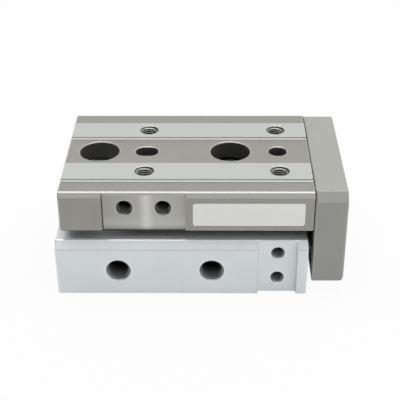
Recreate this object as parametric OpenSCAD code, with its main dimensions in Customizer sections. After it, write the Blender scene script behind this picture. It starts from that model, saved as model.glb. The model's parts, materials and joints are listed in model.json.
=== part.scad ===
// Compact air-driven slide table: a channel-shaped table rides on recirculating balls over a guide
// block, and two small cylinders in the body push it by the end plate. Millimetres, +X is the way
// the table extends, +Z is up, and the origin lies under the middle of the retracted slide.

/* [Slide] */
// Travel of the table from the retracted end
stroke = 10; // [8:1:12]
// Gap between the body's front face and the end plate when retracted
plate_gap = 0.8; // [0.5:0.05:1.2]
// Gap between the body's top and the table's skirts
table_gap = 1.8; // [1.5:0.05:2.2]

/* [Body] */
// Length of the body along the travel
body_l = 41.9; // [41:0.1:48]
// Width of the body
body_w = 30.6; // [30.4:0.2:34]
// Height of the body
body_h = 10.25; // [10:0.05:12]
// Chamfer along the body's two upper edges
body_chamfer = 1.25; // [0.4:0.05:1.4]
// Chamfer along the body's two lower edges
foot_chamfer = 0.3; // [0.1:0.05:0.8]
// Rounding of the body's lower corners at its two ends
foot_round = 0.5; // [0.2:0.05:0.9]
// Length of the port pocket milled in the body's side
pocket_l = 6.45; // [5:0.05:7]
// Depth of the port pocket
pocket_depth = 1; // [0.5:0.05:1.3]
// Distance from the body's front face to the port pocket
pocket_inset = 1.8; // [1:0.05:2.2]

/* [Body mounting holes] */
// Pitch of the two mounting holes, and of the access holes above them
mount_pitch = 22.5; // [21:0.25:23.5]
// Distance from the body's front face to the nearer mounting hole
mount_inset = 12.8; // [12:0.1:13.5]
// Clearance diameter of a mounting hole
mount_d = 3.4; // [3.2:0.1:3.6]
// Thread diameter in the mouth of a mounting hole, from below
mount_tap_d = 4; // [3.8:0.1:4.4]
// Depth of the thread in a mounting hole
mount_tap_depth = 6; // [4:0.5:7]
// Thread diameter of the two side taps
side_tap_d = 4; // [3:0.5:4]
// Depth of the side taps
side_tap_depth = 4.4; // [3:0.1:4.4]
// Pitch of the side taps
side_tap_pitch = 15.6; // [12:0.1:18]
// Distance from the body's front face to the nearer side tap
side_tap_inset = 15.95; // [13:0.05:17]
// Height of the side taps above the underside
side_tap_z = 4.8; // [4:0.05:5.5]
// Diameter of the dowel holes in the underside
dowel_d = 3; // [2:0.5:3]
// Depth of the dowel holes in the underside
dowel_depth = 2.2; // [1.5:0.1:2.4]

/* [Air ports and ducts] */
// Diameter of the two air ports
port_d = 2.2; // [2:0.1:2.6]
// Width of the rim chamfer on the ports
port_rim = 0.2; // [0.05:0.05:0.3]
// Depth of an air port from the pocket's floor
port_depth = 4.45; // [4.2:0.05:4.6]
// Distance from the body's front face to the ports
port_inset = 4.95; // [4.8:0.05:5.1]
// Height of the extend port
port_low_z = 2.8; // [2.6:0.05:3.2]
// Height of the retract port
port_high_z = 7.7; // [7.5:0.05:8.2]
// Diameter of the ducts from the ports
duct_d = 1.2; // [1:0.05:1.3]
// Diameter of the duct that joins the two head chambers
head_duct_d = 1; // [0.8:0.05:1.1]
// Height of the duct that joins the two head chambers
head_duct_z = 2.9; // [2.7:0.05:3.1]
// Distance of the lengthwise duct from the centre plane
long_duct_y = 9.9; // [9.7:0.05:10]
// Height of the lengthwise duct
long_duct_z = 2.4; // [2.2:0.05:2.6]
// Diameter of the two plugs that close the drilled ducts
duct_plug_d = 1.5; // [1.4:0.05:1.7]
// Length of a duct plug
duct_plug_l = 1.5; // [1:0.1:2]

/* [Switch groove] */
// Diameter of the round switch groove in the far side
groove_d = 3.8; // [3:0.1:4]
// Width of the groove's mouth
groove_mouth = 2.6; // [2:0.1:2.8]
// Height of the groove above the underside
groove_z = 6.3; // [6:0.1:6.6]
// Depth of the groove's centre below the side
groove_inset = 2.1; // [1.8:0.1:2.4]

/* [Table] */
// Length of the table
table_l = 41.65; // [40:0.05:42.4]
// Width of the table
table_w = 28.9; // [27.8:0.1:29.4]
// Height of the table's side without the lands
table_h = 7.2; // [6.8:0.1:8]
// Thickness of the table's plate over the channel
table_plate_t = 3; // [2.6:0.1:3.2]
// Inner width of the table's channel
channel_w = 19.6; // [19:0.1:20]
// Chamfer along the table's two upper edges
table_chamfer = 0.75; // [0.2:0.05:0.9]
// Chamfer along the skirts' lower outer edges
skirt_chamfer = 0.3; // [0.1:0.05:0.7]
// Rounding of the skirts' lower corners at the rear end
skirt_round = 0.6; // [0.2:0.05:1]
// Height of the two ground lands above the table's plate
land_h = 0.3; // [0.1:0.05:0.8]
// Width of a ground land
land_w = 5.4; // [4:0.1:6]
// Length of the flat milled in the table's side
flat_l = 13.55; // [11:0.05:14]
// Depth of that flat
flat_depth = 0.35; // [0.2:0.05:0.8]
// Distance from the table's rear end to the flat
flat_inset = 7.1; // [6:0.05:8]

/* [Table holes] */
// Thread diameter of the four table taps
tap_d = 3; // [2.5:0.5:3]
// Pitch of the table taps along the travel
tap_pitch_x = 22.5; // [20:0.25:24]
// Pitch of the table taps across the travel
tap_pitch_y = 14.8; // [14.6:0.1:15.6]
// Distance from the end plate to the nearer table taps
tap_inset = 5.45; // [4.5:0.05:6]
// Diameter of the two access holes
access_d = 6.7; // [6:0.1:7]
// Diameter of the dowel hole and width of the dowel slot in the table
pin_d = 3; // [2:0.5:3.5]
// Length of the dowel slot
slot_l = 3.8; // [3.6:0.1:5]
// Thread diameter of the two taps in the table's flat
edge_tap_d = 2.5; // [2:0.1:2.6]
// Depth of the taps in the table's flat
edge_tap_depth = 2.9; // [2:0.1:3]
// Pitch of the taps in the table's flat
edge_tap_pitch = 6.3; // [5:0.1:7]
// Distance from the flat's rear end to the nearer tap
edge_tap_inset = 3.6; // [3:0.1:4]
// Height of those taps above the skirt's lower edge
edge_tap_rise = 4.35; // [4:0.05:4.7]
// Width of the rim chamfer on tapped holes
tap_rim = 0.2; // [0.05:0.05:0.3]
// Width of the rim chamfer on plain and ground holes
hole_rim = 0.18; // [0.05:0.01:0.2]

/* [Guide] */
// Gap between the guide block and the channel at each side
guide_clear = 0.5; // [0.4:0.05:0.7]
// Gap between the guide block and the channel's ceiling
guide_top_gap = 0.35; // [0.3:0.05:0.6]
// Edge chamfer of the guide block
guide_chamfer = 0.4; // [0.1:0.05:0.6]
// Distance from the body's front face to the front scraper
guide_inset = 0.45; // [0.4:0.05:0.6]
// Overlap of the extended table over the rear scraper
guide_reveal = 0.15; // [0.1:0.05:1]
// Diameter of the access bore through the guide block
guide_access_d = 5.8; // [5.6:0.1:6]
// Diameter of a ball
ball_d = 1.5; // [1.2:0.1:1.6]
// Distance between ball centres in a row
ball_pitch = 1.62; // [1.61:0.01:1.8]
// Gap between a ball and its race
ball_clear = 0.05; // [0.03:0.01:0.08]
// Height of the ball rows above the skirt's lower edge
ball_rise = 2.25; // [2:0.05:2.35]
// Distance between a loaded row and its return row
return_inset = 2.55; // [2.4:0.05:2.8]
// Thickness of a return cover
cover_t = 2.4; // [2.3:0.05:3]
// How far the return covers stay inside the guide block's outline
cover_step = 0.1; // [0.05:0.05:0.2]
// Thickness of a scraper plate
scraper_t = 0.4; // [0.2:0.05:0.6]
// Gap between a scraper and the channel, and round its ears
scraper_clear = 0.2; // [0.15:0.01:0.3]

/* [Guide screws] */
// Thread diameter of the guide screws
guide_screw_d = 2; // [1.8:0.1:2.2]
// Head diameter of the guide screws
guide_head_d = 3.8; // [3.6:0.1:4]
// Head height of the guide screws
guide_head_h = 2; // [1.6:0.1:2.2]
// Depth of the guide screws in the body
guide_screw_depth = 3.4; // [2.5:0.1:4]
// Distance from the guide block's ends to its screws
guide_screw_inset = 3.6; // [3:0.1:3.8]
// Thread diameter of the cover screws
cover_screw_d = 1.4; // [1:0.1:1.6]
// Head diameter of the cover screws
cover_head_d = 2.5; // [2.2:0.1:2.8]
// Head height of the cover screws
cover_head_h = 0.8; // [0.6:0.05:0.85]
// Depth of the cover screws in the guide block
cover_screw_depth = 3; // [2:0.1:4]
// Distance of the cover screws from the centre plane
cover_screw_y = 4.5; // [4.2:0.1:4.8]
// Height of the cover screws above the body's top
cover_screw_rise = 2.8; // [2.6:0.1:3.2]

/* [Cylinders] */
// Bore of the two cylinders
bore_d = 6; // [5.6:0.1:6]
// Distance between the two bores
bore_pitch = 12; // [11.8:0.1:12.2]
// Height of the bores above the underside
bore_z = 5.7; // [5.6:0.05:5.8]
// Diameter of the seats at both ends of a bore
seat_d = 7; // [6.8:0.1:7.2]
// Depth of the head cap's seat
cap_seat_l = 5; // [4.6:0.1:6]
// Depth of the rod cover's seat
rod_seat_l = 4.05; // [3.95:0.05:4.1]
// Length of the head cap's nose in the bore
cap_nose_l = 4; // [2:0.25:5]
// Thickness of the retaining rings
ring_t = 0.4; // [0.3:0.05:0.5]
// Depth of the retaining rings' grooves in the seat's wall
ring_bite = 0.3; // [0.2:0.05:0.35]
// Radial width of the retaining rings
ring_w = 0.75; // [0.6:0.05:0.9]
// Distance from the body's end faces to the retaining rings
ring_setback = 0.3; // [0.2:0.05:0.5]
// Thickness of the head bumper
head_bumper_t = 0.55; // [0.4:0.05:1]
// Thickness of the rod bumper
rod_bumper_t = 0.8; // [0.5:0.05:1]
// Section diameter of the O-rings
o_ring_d = 0.7; // [0.6:0.05:0.8]

/* [Pistons and rods] */
// Diameter of a piston rod
rod_d = 3; // [2.8:0.1:3.2]
// Length of a piston
piston_l = 7; // [5:0.25:8]
// Length of a magnet
magnet_l = 3.5; // [2:0.25:4]
// Running gap between a piston and its bore
piston_clear = 0.05; // [0.03:0.01:0.08]
// Gap between a piston and its bumper at each end of the travel
piston_end_gap = 0.15; // [0.1:0.05:0.3]
// Running gap between a rod and its cover
rod_clear = 0.04; // [0.03:0.01:0.08]
// Width of a seal groove
seal_groove_w = 1.4; // [1.3:0.05:1.5]
// Length of the rod that enters the end plate
rod_entry = 0.65; // [0.4:0.05:1]
// Thread diameter of the rod screws
rod_screw_d = 2; // [1.6:0.1:2]
// Depth of the rod screws in the rods
rod_screw_depth = 4.2; // [3:0.1:6]

/* [End plate] */
// Thickness of the end plate
plate_t = 5.3; // [5:0.05:7]
// How far the end plate's sides stand inside the body's
plate_inset = 0.5; // [0:0.05:0.7]
// Height of the end plate's lower edge above the underside
plate_z = 2.35; // [1.6:0.05:2.8]
// Chamfer along the end plate's upper side edges
plate_chamfer = 1.45; // [0.5:0.05:1.6]
// Rounding of the end plate's outer lower edge
plate_round = 1.1; // [0.4:0.1:1.5]
// Diameter of the floating bushes' holes in the end plate
float_hole_d = 4.2; // [4:0.1:4.4]
// Depth of the bushes' counterbores
float_seat_depth = 3; // [2.8:0.1:3.2]
// Diameter of the bushes' counterbores
float_seat_d = 5.4; // [5.2:0.1:5.6]
// Thread diameter of the plate screws
plate_screw_d = 2.5; // [2:0.1:2.5]
// Depth of the plate screws in the table
plate_screw_depth = 5.4; // [4:0.1:7]
// Distance of the plate screws below the table's top
plate_screw_drop = 3.4; // [3.3:0.05:3.6]
// Thread diameter of the four tool taps
tool_tap_d = 3; // [2.5:0.5:3]
// Distance of the tool taps from the end plate's sides
tool_inset = 3.3; // [3:0.1:3.4]
// Pitch of the tool taps up the end plate
tool_pitch_z = 6; // [5:0.1:6]
// Height of the middle of the tool taps
tool_z = 8.2; // [8:0.1:8.4]
// Diameter of the rubber end bumper
end_bumper_d = 4; // [3:0.1:4.5]
// Depth of the end bumper's pocket in the end plate
end_bumper_seat = 1.5; // [1:0.1:2]
// Gap between the end bumper and the body when retracted
end_bumper_gap = 0.3; // [0.2:0.05:0.4]

/* [Name plate] */
// Length of the bare plate on the table's side
label_l = 18.2; // [10:0.1:18.4]
// Height of the bare plate
label_h = 4.2; // [3:0.1:4.6]
// Thickness of the bare plate
label_t = 0.1; // [0.05:0.05:0.3]
// Corner rounding of the bare plate
label_round = 0.45; // [0.2:0.05:1]
// Distance from the end plate to the bare plate
label_inset = 1.6; // [1:0.05:3]
// Height of the bare plate above the skirt's lower edge
label_rise = 1.25; // [1.1:0.05:1.5]

/* [Hidden] */
$fn = 48;

LEFT = 1;
RIGHT = -1;
SIDES = [LEFT, RIGHT];
// Overrun of a cut past the face that it opens
cut = 0.5;
// Smallest break of a machined edge
edge_break = 0.12;
// Breaks of the edges where the table meets the end plate, and of the end plate's front
joint_break = 0.18;
front_break = 0.25;
// Extra depth of a tapped hole past its screw
tap_runout = 0.4;
// How deep a sunk screw head lies below its face
head_sink = 0.3;
// Bevels of turned steel, of screw heads and of rubber
turned_bevel = 0.2;
head_bevel = 0.15;
rubber_bevel = 0.12;
// Gap between pieces that are pressed or screwed together
fit = 0.01;
// Gap between a fixed piece and the seat that it drops into
seat_clear = 0.03;

// Places along the travel
overall_l = body_l + plate_gap + plate_t;
body_x0 = -overall_l / 2;
body_x1 = body_x0 + body_l;
plate_x0 = body_x1 + plate_gap;
plate_x1 = plate_x0 + plate_t;
table_x0 = plate_x0 - table_l;
mount_xs = [for (i = [0, 1]) body_x1 - mount_inset - i * mount_pitch];
tap_xs = [for (i = [0, 1]) plate_x0 - tap_inset - i * tap_pitch_x];
side_tap_xs = [for (i = [0, 1]) body_x1 - side_tap_inset - i * side_tap_pitch];
port_x = body_x1 - port_inset;
pocket_x0 = body_x1 - pocket_inset - pocket_l;
flat_x0 = table_x0 + flat_inset;

// Heights
skirt_z = body_h + table_gap;
table_z = skirt_z + table_h;
channel_z = table_z - table_plate_t;
guide_z = channel_z - guide_top_gap;
ball_z = skirt_z + ball_rise;

// Widths
plate_w = body_w - 2 * plate_inset;
tool_y = plate_w / 2 - tool_inset;
guide_w = channel_w - 2 * guide_clear;

// Races and ball rows
race_r = ball_d / 2 + ball_clear;
ball_y = (channel_w - guide_clear) / 2;
return_y = ball_y - return_inset;
turn_r = return_inset / 2;
turn_y = ball_y - turn_r;
guide_x0 = table_x0 + stroke + guide_reveal;
guide_x1 = body_x1 - guide_inset;
block_x0 = guide_x0 + scraper_t + cover_t;
block_x1 = guide_x1 - scraper_t - cover_t;
row_l = block_x1 - block_x0 - stroke / 2 - ball_d - 2 * ball_clear;
row_count = floor(row_l / ball_pitch) + 1;
row_start = ball_d / 2 + ball_clear;
turn_angles = [-40, 40];
guide_screw_xs = [block_x0 + guide_screw_inset, block_x1 - guide_screw_inset];
guide_head_z = guide_z - guide_head_h - head_sink;

// Cylinders: seats, pistons and rods
holder_cap_t = 1;
head_duct_lap = 0.15;
o_ring_play = 0.15;
rod_seal_t = 0.95;
piston_seal_t = 0.5;
cap_x = body_x0 + cap_seat_l;
nose_x = cap_x + cap_nose_l;
rod_seat_x = body_x1 - rod_seat_l;
cap_r = seat_d / 2 - seat_clear;
piston_r = bore_d / 2 - piston_clear;
piston_x1 = rod_seat_x - rod_bumper_t - piston_end_gap - stroke;
piston_x0 = piston_x1 - piston_l;
magnet_x0 = piston_x0 - magnet_l;
holder_x0 = nose_x + head_bumper_t + piston_end_gap;
rod_x0 = holder_x0 + holder_cap_t;
rod_x1 = plate_x0 + rod_entry;
head_duct_x = nose_x + head_duct_d / 2 - head_duct_lap;
o_groove_w = o_ring_d + o_ring_play;
o_ring_r = seat_d / 2 - o_ring_d / 2 - fit;
o_groove_r = o_ring_r - o_ring_d / 2 - seat_clear;
seal_groove_r = rod_d / 2 + rod_seal_t;
bumper_r = 2.2;
bumper_bore_play = 0.4;
bumper_rod_play = 0.25;
magnet_play = 0.2;
holder_play = 0.05;
key_slot_w = 0.8;
key_slot_depth = 0.6;
stem_d = 1.6;
stem_l = 1.2;
pull_d = 2.4;
pull_depth = 1;
o_groove_inset = 0.25;
seal_lip_t = 0.6;
seal_play = 0.05;
seal_bed_r = rod_d / 2 + piston_seal_t;

// Screws: a socket's depth and width as shares of its head, and the play round shanks and heads
socket_share = 0.5;
socket_width = 0.46;
shank_play = 0.1;
head_play = 0.15;
rod_head_d = 3.8;
rod_head_h = 1.9;
float_flange_t = 0.6;
float_lift = 0.05;
float_play = 0.15;
plate_head_d = 4.5;
plate_head_h = 2.4;
plate_screw_y = (channel_w + table_w) / 4;
plate_screw_z = table_z - plate_screw_drop;
plate_head_seat = plate_head_h + head_sink;

// A box between two corners
module block(low, high) {
    translate(low)
        cube(high - low);
}

// A flat shape in Y and Z, drawn along X from x0 to x1
module along_x(x0, x1) {
    translate([x0, 0, 0])
        rotate([90, 0, 90])
            linear_extrude(x1 - x0)
                children();
}

// A flat shape in X and Z, drawn along Y through the whole width w
module along_y(w) {
    translate([0, w / 2, 0])
        rotate([90, 0, 0])
            linear_extrude(w)
                children();
}

// A round rod or hole along X
module rod_x(x0, x1, d, y, z) {
    translate([x0, y, z])
        rotate([0, 90, 0])
            cylinder(h = x1 - x0, d = d);
}

// Places children on the axis of one cylinder, with their +Z along +X from x
module on_bore(side, x) {
    translate([x, side * bore_pitch / 2, bore_z])
        rotate([0, 90, 0])
            children();
}

// A ring or disc with chamfered outer edges, from z = 0 up
module washer(h, r_out, r_in, bevel) {
    rotate_extrude()
        polygon([
            [r_in, 0], [r_out - bevel, 0], [r_out, bevel],
            [r_out, h - bevel], [r_out - bevel, h], [r_in, h]
        ]);
}

// A hole that opens upwards at z = 0, with a chamfered rim
module rimmed_hole(d, depth, rim) {
    translate([0, 0, -depth])
        cylinder(h = depth + cut, d = d);
    translate([0, 0, -rim])
        cylinder(h = rim + cut, r1 = d / 2, r2 = d / 2 + rim + cut);
}

// A slot along X that opens upwards at z = 0, with a chamfered rim
module rimmed_slot(width, length, depth, rim) {
    reach = (length - width) / 2;
    for (x = [-reach, reach])
        translate([x, 0, 0])
            rimmed_hole(width, depth, rim);
    along_x(-reach, reach)
        polygon([
            [-width / 2, -depth], [width / 2, -depth], [width / 2, -rim], [width / 2 + rim, 0],
            [width / 2 + rim, cut], [-width / 2 - rim, cut], [-width / 2 - rim, 0],
            [-width / 2, -rim]
        ]);
}

// Cuts the edge along Y where a face at z = 0 meets an end at x = 0. The part lies behind the end
// where facing is 1, and ahead of it where facing is -1
module edge_wedge(length, size, facing) {
    rotate([0, 0, facing > 0 ? 0 : 180])
        along_y(length)
            polygon([[-size, cut], [-size, 0], [0, -size], [cut, -size], [cut, cut]]);
}

// Breaks the top, side and chamfer edges round one end of a chamfered section
module end_break(x, facing, w, z0, z1, top, size) {
    translate([x, 0, z1])
        edge_wedge(w, size, facing);
    for (side = SIDES) {
        translate([x, side * w / 2, z1])
            rotate([-90 * side, 0, 0])
                edge_wedge(2 * (z1 - z0), size, facing);
        translate([x, side * (w - top) / 2, z1 - top / 2])
            rotate([-45 * side, 0, 0])
                edge_wedge(2 * top, size, facing);
    }
}

// A cap screw: its head stands on z = 0, its shank hangs below, and its socket is a hexagon
module cap_screw(d, length, head_d, head_h) {
    difference() {
        union() {
            washer(head_h, head_d / 2, 0, head_bevel);
            translate([0, 0, -length])
                cylinder(h = length + head_h / 2, d = d);
        }
        translate([0, 0, head_h * (1 - socket_share)])
            cylinder(h = head_h, d = head_d * socket_width, $fn = 6);
    }
}

// An outline that stands on z = 0, with its two lower corners rounded
module footed_outline(x0, x1, z0, z1, r0, r1) {
    translate([x0 + r0, z0])
        square([x1 - x0 - r0 - r1, z1 - z0]);
    translate([x0, z0 + r0])
        square([r0 * 2, z1 - z0 - r0]);
    translate([x0 + r0, z0 + r0])
        circle(r0);
    translate([x1 - r1 * 2, z0 + r1])
        square([r1 * 2, z1 - z0 - r1]);
    translate([x1 - r1, z0 + r1])
        circle(r1);
}

// A rectangle in Y and Z with chamfered upper and lower corners
module chamfered_section(w, z0, z1, top, foot) {
    polygon([
        [-w / 2 + foot, z0], [w / 2 - foot, z0], [w / 2, z0 + foot], [w / 2, z1 - top],
        [w / 2 - top, z1], [-w / 2 + top, z1], [-w / 2, z1 - top], [-w / 2, z0 + foot]
    ]);
}

// The mounting holes' upper bores, which the guide keeps clear
module access_bores() {
    for (x = mount_xs)
        translate([x, 0, body_h])
            cylinder(h = guide_z - body_h + cut, d = guide_access_d);
}

// The two pairs of screw holes through a return cover and its scraper
module cover_screw_places() {
    for (side = SIDES)
        translate([0, side * cover_screw_y, body_h + cover_screw_rise])
            children();
}

// ---- Body ----

// One cylinder's bore, with its end seats and retaining ring grooves
module bore_cut(side) {
    on_bore(side, body_x0 - cut)
        cylinder(h = body_l + 2 * cut, d = bore_d);
    on_bore(side, body_x0 - cut)
        cylinder(h = cap_seat_l + cut, d = seat_d);
    on_bore(side, rod_seat_x)
        cylinder(h = rod_seat_l + cut, d = seat_d);
    for (x = [body_x0 + ring_setback, body_x1 - ring_setback - ring_t])
        on_bore(side, x)
            cylinder(h = ring_t, d = seat_d + 2 * ring_bite);
}

// Ports, ducts and the seats of their plugs
module air_cut() {
    pocket_y = -body_w / 2 + pocket_depth;
    for (z = [port_low_z, port_high_z])
        translate([port_x, pocket_y, z])
            rotate([90, 0, 0])
                rimmed_hole(port_d, port_depth, port_rim);
    translate([port_x, pocket_y + port_depth - cut, port_high_z])
        rotate([-90, 0, 0])
            cylinder(h = bore_pitch / 2 - pocket_y - port_depth + cut, d = duct_d);
    rod_x(body_x0 - cut, port_x, duct_d, -long_duct_y, long_duct_z);
    rod_x(body_x0 - cut, body_x0 + duct_plug_l, duct_plug_d, -long_duct_y, long_duct_z);
    translate([head_duct_x, -long_duct_y, head_duct_z])
        rotate([-90, 0, 0])
            cylinder(h = long_duct_y + body_w / 2 + cut, d = head_duct_d);
    translate([head_duct_x, body_w / 2 - duct_plug_l, head_duct_z])
        rotate([-90, 0, 0])
            cylinder(h = duct_plug_l + cut, d = duct_plug_d);
}

// Mounting holes, side taps, dowel holes and the guide screws' threads
module body_holes() {
    for (x = mount_xs) {
        translate([x, 0, -cut])
            cylinder(h = body_h + 2 * cut, d = mount_d);
        translate([x, 0, 0])
            rotate([180, 0, 0])
                rimmed_hole(mount_tap_d, mount_tap_depth, tap_rim);
    }
    for (x = side_tap_xs)
        translate([x, -body_w / 2, side_tap_z])
            rotate([90, 0, 0])
                rimmed_hole(side_tap_d, side_tap_depth, tap_rim);
    translate([tap_xs[0], 0, 0])
        rotate([180, 0, 0])
            rimmed_hole(dowel_d, dowel_depth, hole_rim);
    translate([tap_xs[1], 0, 0])
        rotate([180, 0, 0])
            rimmed_slot(dowel_d, dowel_d + slot_l - pin_d, dowel_depth, hole_rim);
    for (x = guide_screw_xs)
        translate([x, 0, body_h - guide_screw_depth - tap_runout])
            cylinder(h = guide_screw_depth + tap_runout + cut, d = guide_screw_d + 2 * fit);
}

// The round groove that holds position switches
module switch_groove() {
    rod_x(body_x0 - cut, body_x1 + cut, groove_d, body_w / 2 - groove_inset, groove_z);
    block([body_x0 - cut, body_w / 2 - groove_inset, groove_z - groove_mouth / 2],
          [body_x1 + cut, body_w / 2 + cut, groove_z + groove_mouth / 2]);
}

module body() {
    color([0.80, 0.82, 0.83])
        difference() {
            intersection() {
                along_x(body_x0, body_x1)
                    chamfered_section(body_w, 0, body_h, body_chamfer, foot_chamfer);
                along_y(body_w)
                    footed_outline(body_x0, body_x1, 0, body_h, foot_round, foot_round);
            }
            block([pocket_x0, -body_w / 2 - cut, -cut],
                  [pocket_x0 + pocket_l, -body_w / 2 + pocket_depth, body_h + cut]);
            end_break(body_x0, -1, body_w, 0, body_h, body_chamfer, edge_break);
            end_break(body_x1, 1, body_w, 0, body_h, body_chamfer, edge_break);
            for (side = SIDES)
                bore_cut(side);
            air_cut();
            body_holes();
            switch_groove();
        }
}

module long_duct_plug() {
    color([0.6, 0.6, 0.62])
        rod_x(body_x0, body_x0 + duct_plug_l, duct_plug_d - 2 * fit, -long_duct_y, long_duct_z);
}

module head_duct_plug() {
    color([0.6, 0.6, 0.62])
        translate([head_duct_x, body_w / 2 - duct_plug_l, head_duct_z])
            rotate([-90, 0, 0])
                cylinder(h = duct_plug_l, d = duct_plug_d - 2 * fit);
}

// ---- Recirculating ball guide ----

module guide_block() {
    color([0.52, 0.53, 0.55])
        difference() {
            along_x(block_x0, block_x1)
                chamfered_section(guide_w, body_h, guide_z, guide_chamfer, guide_chamfer);
            for (y = [-ball_y, -return_y, return_y, ball_y])
                rod_x(block_x0 - cut, block_x1 + cut, race_r * 2, y, ball_z);
            access_bores();
            for (x = guide_screw_xs) {
                translate([x, 0, body_h - cut])
                    cylinder(h = guide_z - body_h + 2 * cut, d = guide_screw_d + 2 * shank_play);
                translate([x, 0, guide_head_z])
                    cylinder(h = guide_z - guide_head_z + cut, d = guide_head_d + 2 * shank_play);
            }
            cover_screw_places()
                for (x = [block_x0 - cut, block_x1 - cover_screw_depth - tap_runout])
                    rod_x(x, x + cover_screw_depth + tap_runout + cut, cover_screw_d + 2 * fit, 0, 0);
        }
}

module guide_screws() {
    color([0.30, 0.30, 0.31])
        for (x = guide_screw_xs)
            translate([x, 0, guide_head_z])
                cap_screw(guide_screw_d, guide_head_z - body_h + guide_screw_depth,
                          guide_head_d, guide_head_h);
}

// A resin cover whose two half-ring races turn the balls from the loaded row to the return row
module return_cover(x0, x1, turn_x) {
    color([0.16, 0.17, 0.18])
        difference() {
            along_x(x0, x1)
                chamfered_section(guide_w - 2 * cover_step, body_h, guide_z - cover_step,
                                  guide_chamfer, guide_chamfer);
            for (side = SIDES)
                translate([turn_x, side * turn_y, ball_z])
                    rotate_extrude()
                        translate([turn_r, 0])
                            circle(race_r);
            cover_screw_places()
                rod_x(x0 - cut, x1 + cut, cover_screw_d + shank_play, 0, 0);
            access_bores();
        }
}

module rear_return_cover() {
    return_cover(block_x0 - cover_t, block_x0, block_x0);
}

module front_return_cover() {
    return_cover(block_x1, block_x1 + cover_t, block_x1);
}

// A steel wiper whose ears reach into the table's races
module scraper(x0) {
    color([0.70, 0.70, 0.68])
        difference() {
            along_x(x0, x0 + scraper_t) {
                translate([-channel_w / 2 + scraper_clear, body_h + seat_clear])
                    square([channel_w - 2 * scraper_clear, channel_z - scraper_clear - body_h]);
                for (side = SIDES)
                    translate([side * ball_y, ball_z])
                        circle(race_r - scraper_clear);
            }
            cover_screw_places()
                rod_x(x0 - cut, x0 + scraper_t + cut, cover_screw_d + shank_play, 0, 0);
            access_bores();
        }
}

module rear_scraper() {
    scraper(guide_x0);
}

module front_scraper() {
    scraper(guide_x1 - scraper_t);
}

module cover_screws() {
    reach = scraper_t + cover_t + cover_screw_depth;
    color([0.55, 0.55, 0.56])
        cover_screw_places() {
            translate([guide_x0, 0, 0])
                rotate([0, -90, 0])
                    cap_screw(cover_screw_d, reach, cover_head_d, cover_head_h);
            translate([guide_x1, 0, 0])
                rotate([0, 90, 0])
                    cap_screw(cover_screw_d, reach, cover_head_d, cover_head_h);
        }
}

// Both rows at one distance from the centre plane, counted from x0 in steps of pitch
module ball_rows(y, x0, pitch) {
    color([0.78, 0.79, 0.80])
        for (side = SIDES)
            for (i = [0 : row_count - 1])
                translate([x0 + i * pitch, side * y, ball_z])
                    sphere(d = ball_d);
}

module loaded_balls() {
    ball_rows(ball_y, block_x0 + row_start, ball_pitch);
}

module return_balls() {
    ball_rows(return_y, block_x1 - row_start, -ball_pitch);
}

// The balls that stand in the four turns
module turning_balls() {
    color([0.78, 0.79, 0.80])
        for (side = SIDES)
            for (turn = [[block_x0, 180], [block_x1, 0]])
                for (angle = turn_angles)
                    translate([turn[0], side * turn_y, ball_z])
                        rotate([0, 0, turn[1] + angle])
                            translate([turn_r, 0, 0])
                                sphere(d = ball_d);
}

// ---- Table ----

// The table's section: a channel with two raised lands
module table_section() {
    difference() {
        union() {
            chamfered_section(table_w, skirt_z, table_z, table_chamfer, skirt_chamfer);
            for (side = SIDES)
                translate([side * tap_pitch_y / 2 - land_w / 2, channel_z])
                    square([land_w, table_z + land_h - channel_z]);
        }
        translate([-channel_w / 2, skirt_z - cut])
            square([channel_w, channel_z - skirt_z + cut]);
    }
}

// Access holes, dowel hole and slot, and the four taps in the lands
module table_top_holes() {
    plate_deep = table_plate_t + land_h + cut;
    for (x = mount_xs)
        translate([x, 0, table_z])
            rimmed_hole(access_d, plate_deep, hole_rim);
    translate([tap_xs[0], 0, table_z])
        rimmed_hole(pin_d, plate_deep, hole_rim);
    translate([tap_xs[1], 0, table_z])
        rimmed_slot(pin_d, slot_l, plate_deep, hole_rim);
    for (x = tap_xs)
        for (side = SIDES)
            translate([x, side * tap_pitch_y / 2, table_z + land_h])
                rimmed_hole(tap_d, plate_deep, tap_rim);
}

// The taps in the milled flat, and the plate screws' threads in the skirts' front ends
module table_side_holes() {
    for (i = [0, 1])
        translate([flat_x0 + edge_tap_inset + i * edge_tap_pitch, -table_w / 2 + flat_depth,
                   skirt_z + edge_tap_rise])
            rotate([90, 0, 0])
                rimmed_hole(edge_tap_d, edge_tap_depth, tap_rim);
    for (side = SIDES)
        rod_x(plate_x0 - plate_screw_depth - tap_runout, plate_x0 + cut, plate_screw_d + 2 * fit,
              side * plate_screw_y, plate_screw_z);
}

module table() {
    color([0.64, 0.63, 0.60])
        difference() {
            intersection() {
                along_x(table_x0, plate_x0)
                    table_section();
                along_y(table_w)
                    footed_outline(table_x0, plate_x0, skirt_z, table_z + land_h, skirt_round,
                                   edge_break);
            }
            for (side = SIDES)
                rod_x(table_x0 - cut, plate_x0 + cut, race_r * 2, side * ball_y, ball_z);
            block([flat_x0, -table_w / 2 - cut, skirt_z - cut],
                  [flat_x0 + flat_l, -table_w / 2 + flat_depth, table_z + cut]);
            table_top_holes();
            table_side_holes();
            end_break(plate_x0, 1, table_w, skirt_z, table_z, table_chamfer, joint_break);
            end_break(table_x0, -1, table_w, skirt_z, table_z, table_chamfer, edge_break);
        }
}

module label_plate() {
    x0 = plate_x0 - label_inset - label_l;
    z0 = skirt_z + label_rise;
    color([0.86, 0.87, 0.85])
        translate([0, -table_w / 2, 0])
            rotate([90, 0, 0])
                linear_extrude(label_t) {
                    translate([x0 + label_round, z0])
                        square([label_l - 2 * label_round, label_h]);
                    translate([x0, z0 + label_round])
                        square([label_l, label_h - 2 * label_round]);
                    for (x = [x0 + label_round, x0 + label_l - label_round])
                        for (z = [z0 + label_round, z0 + label_h - label_round])
                            translate([x, z])
                                circle(label_round);
                }
}

// ---- End plate ----

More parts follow.
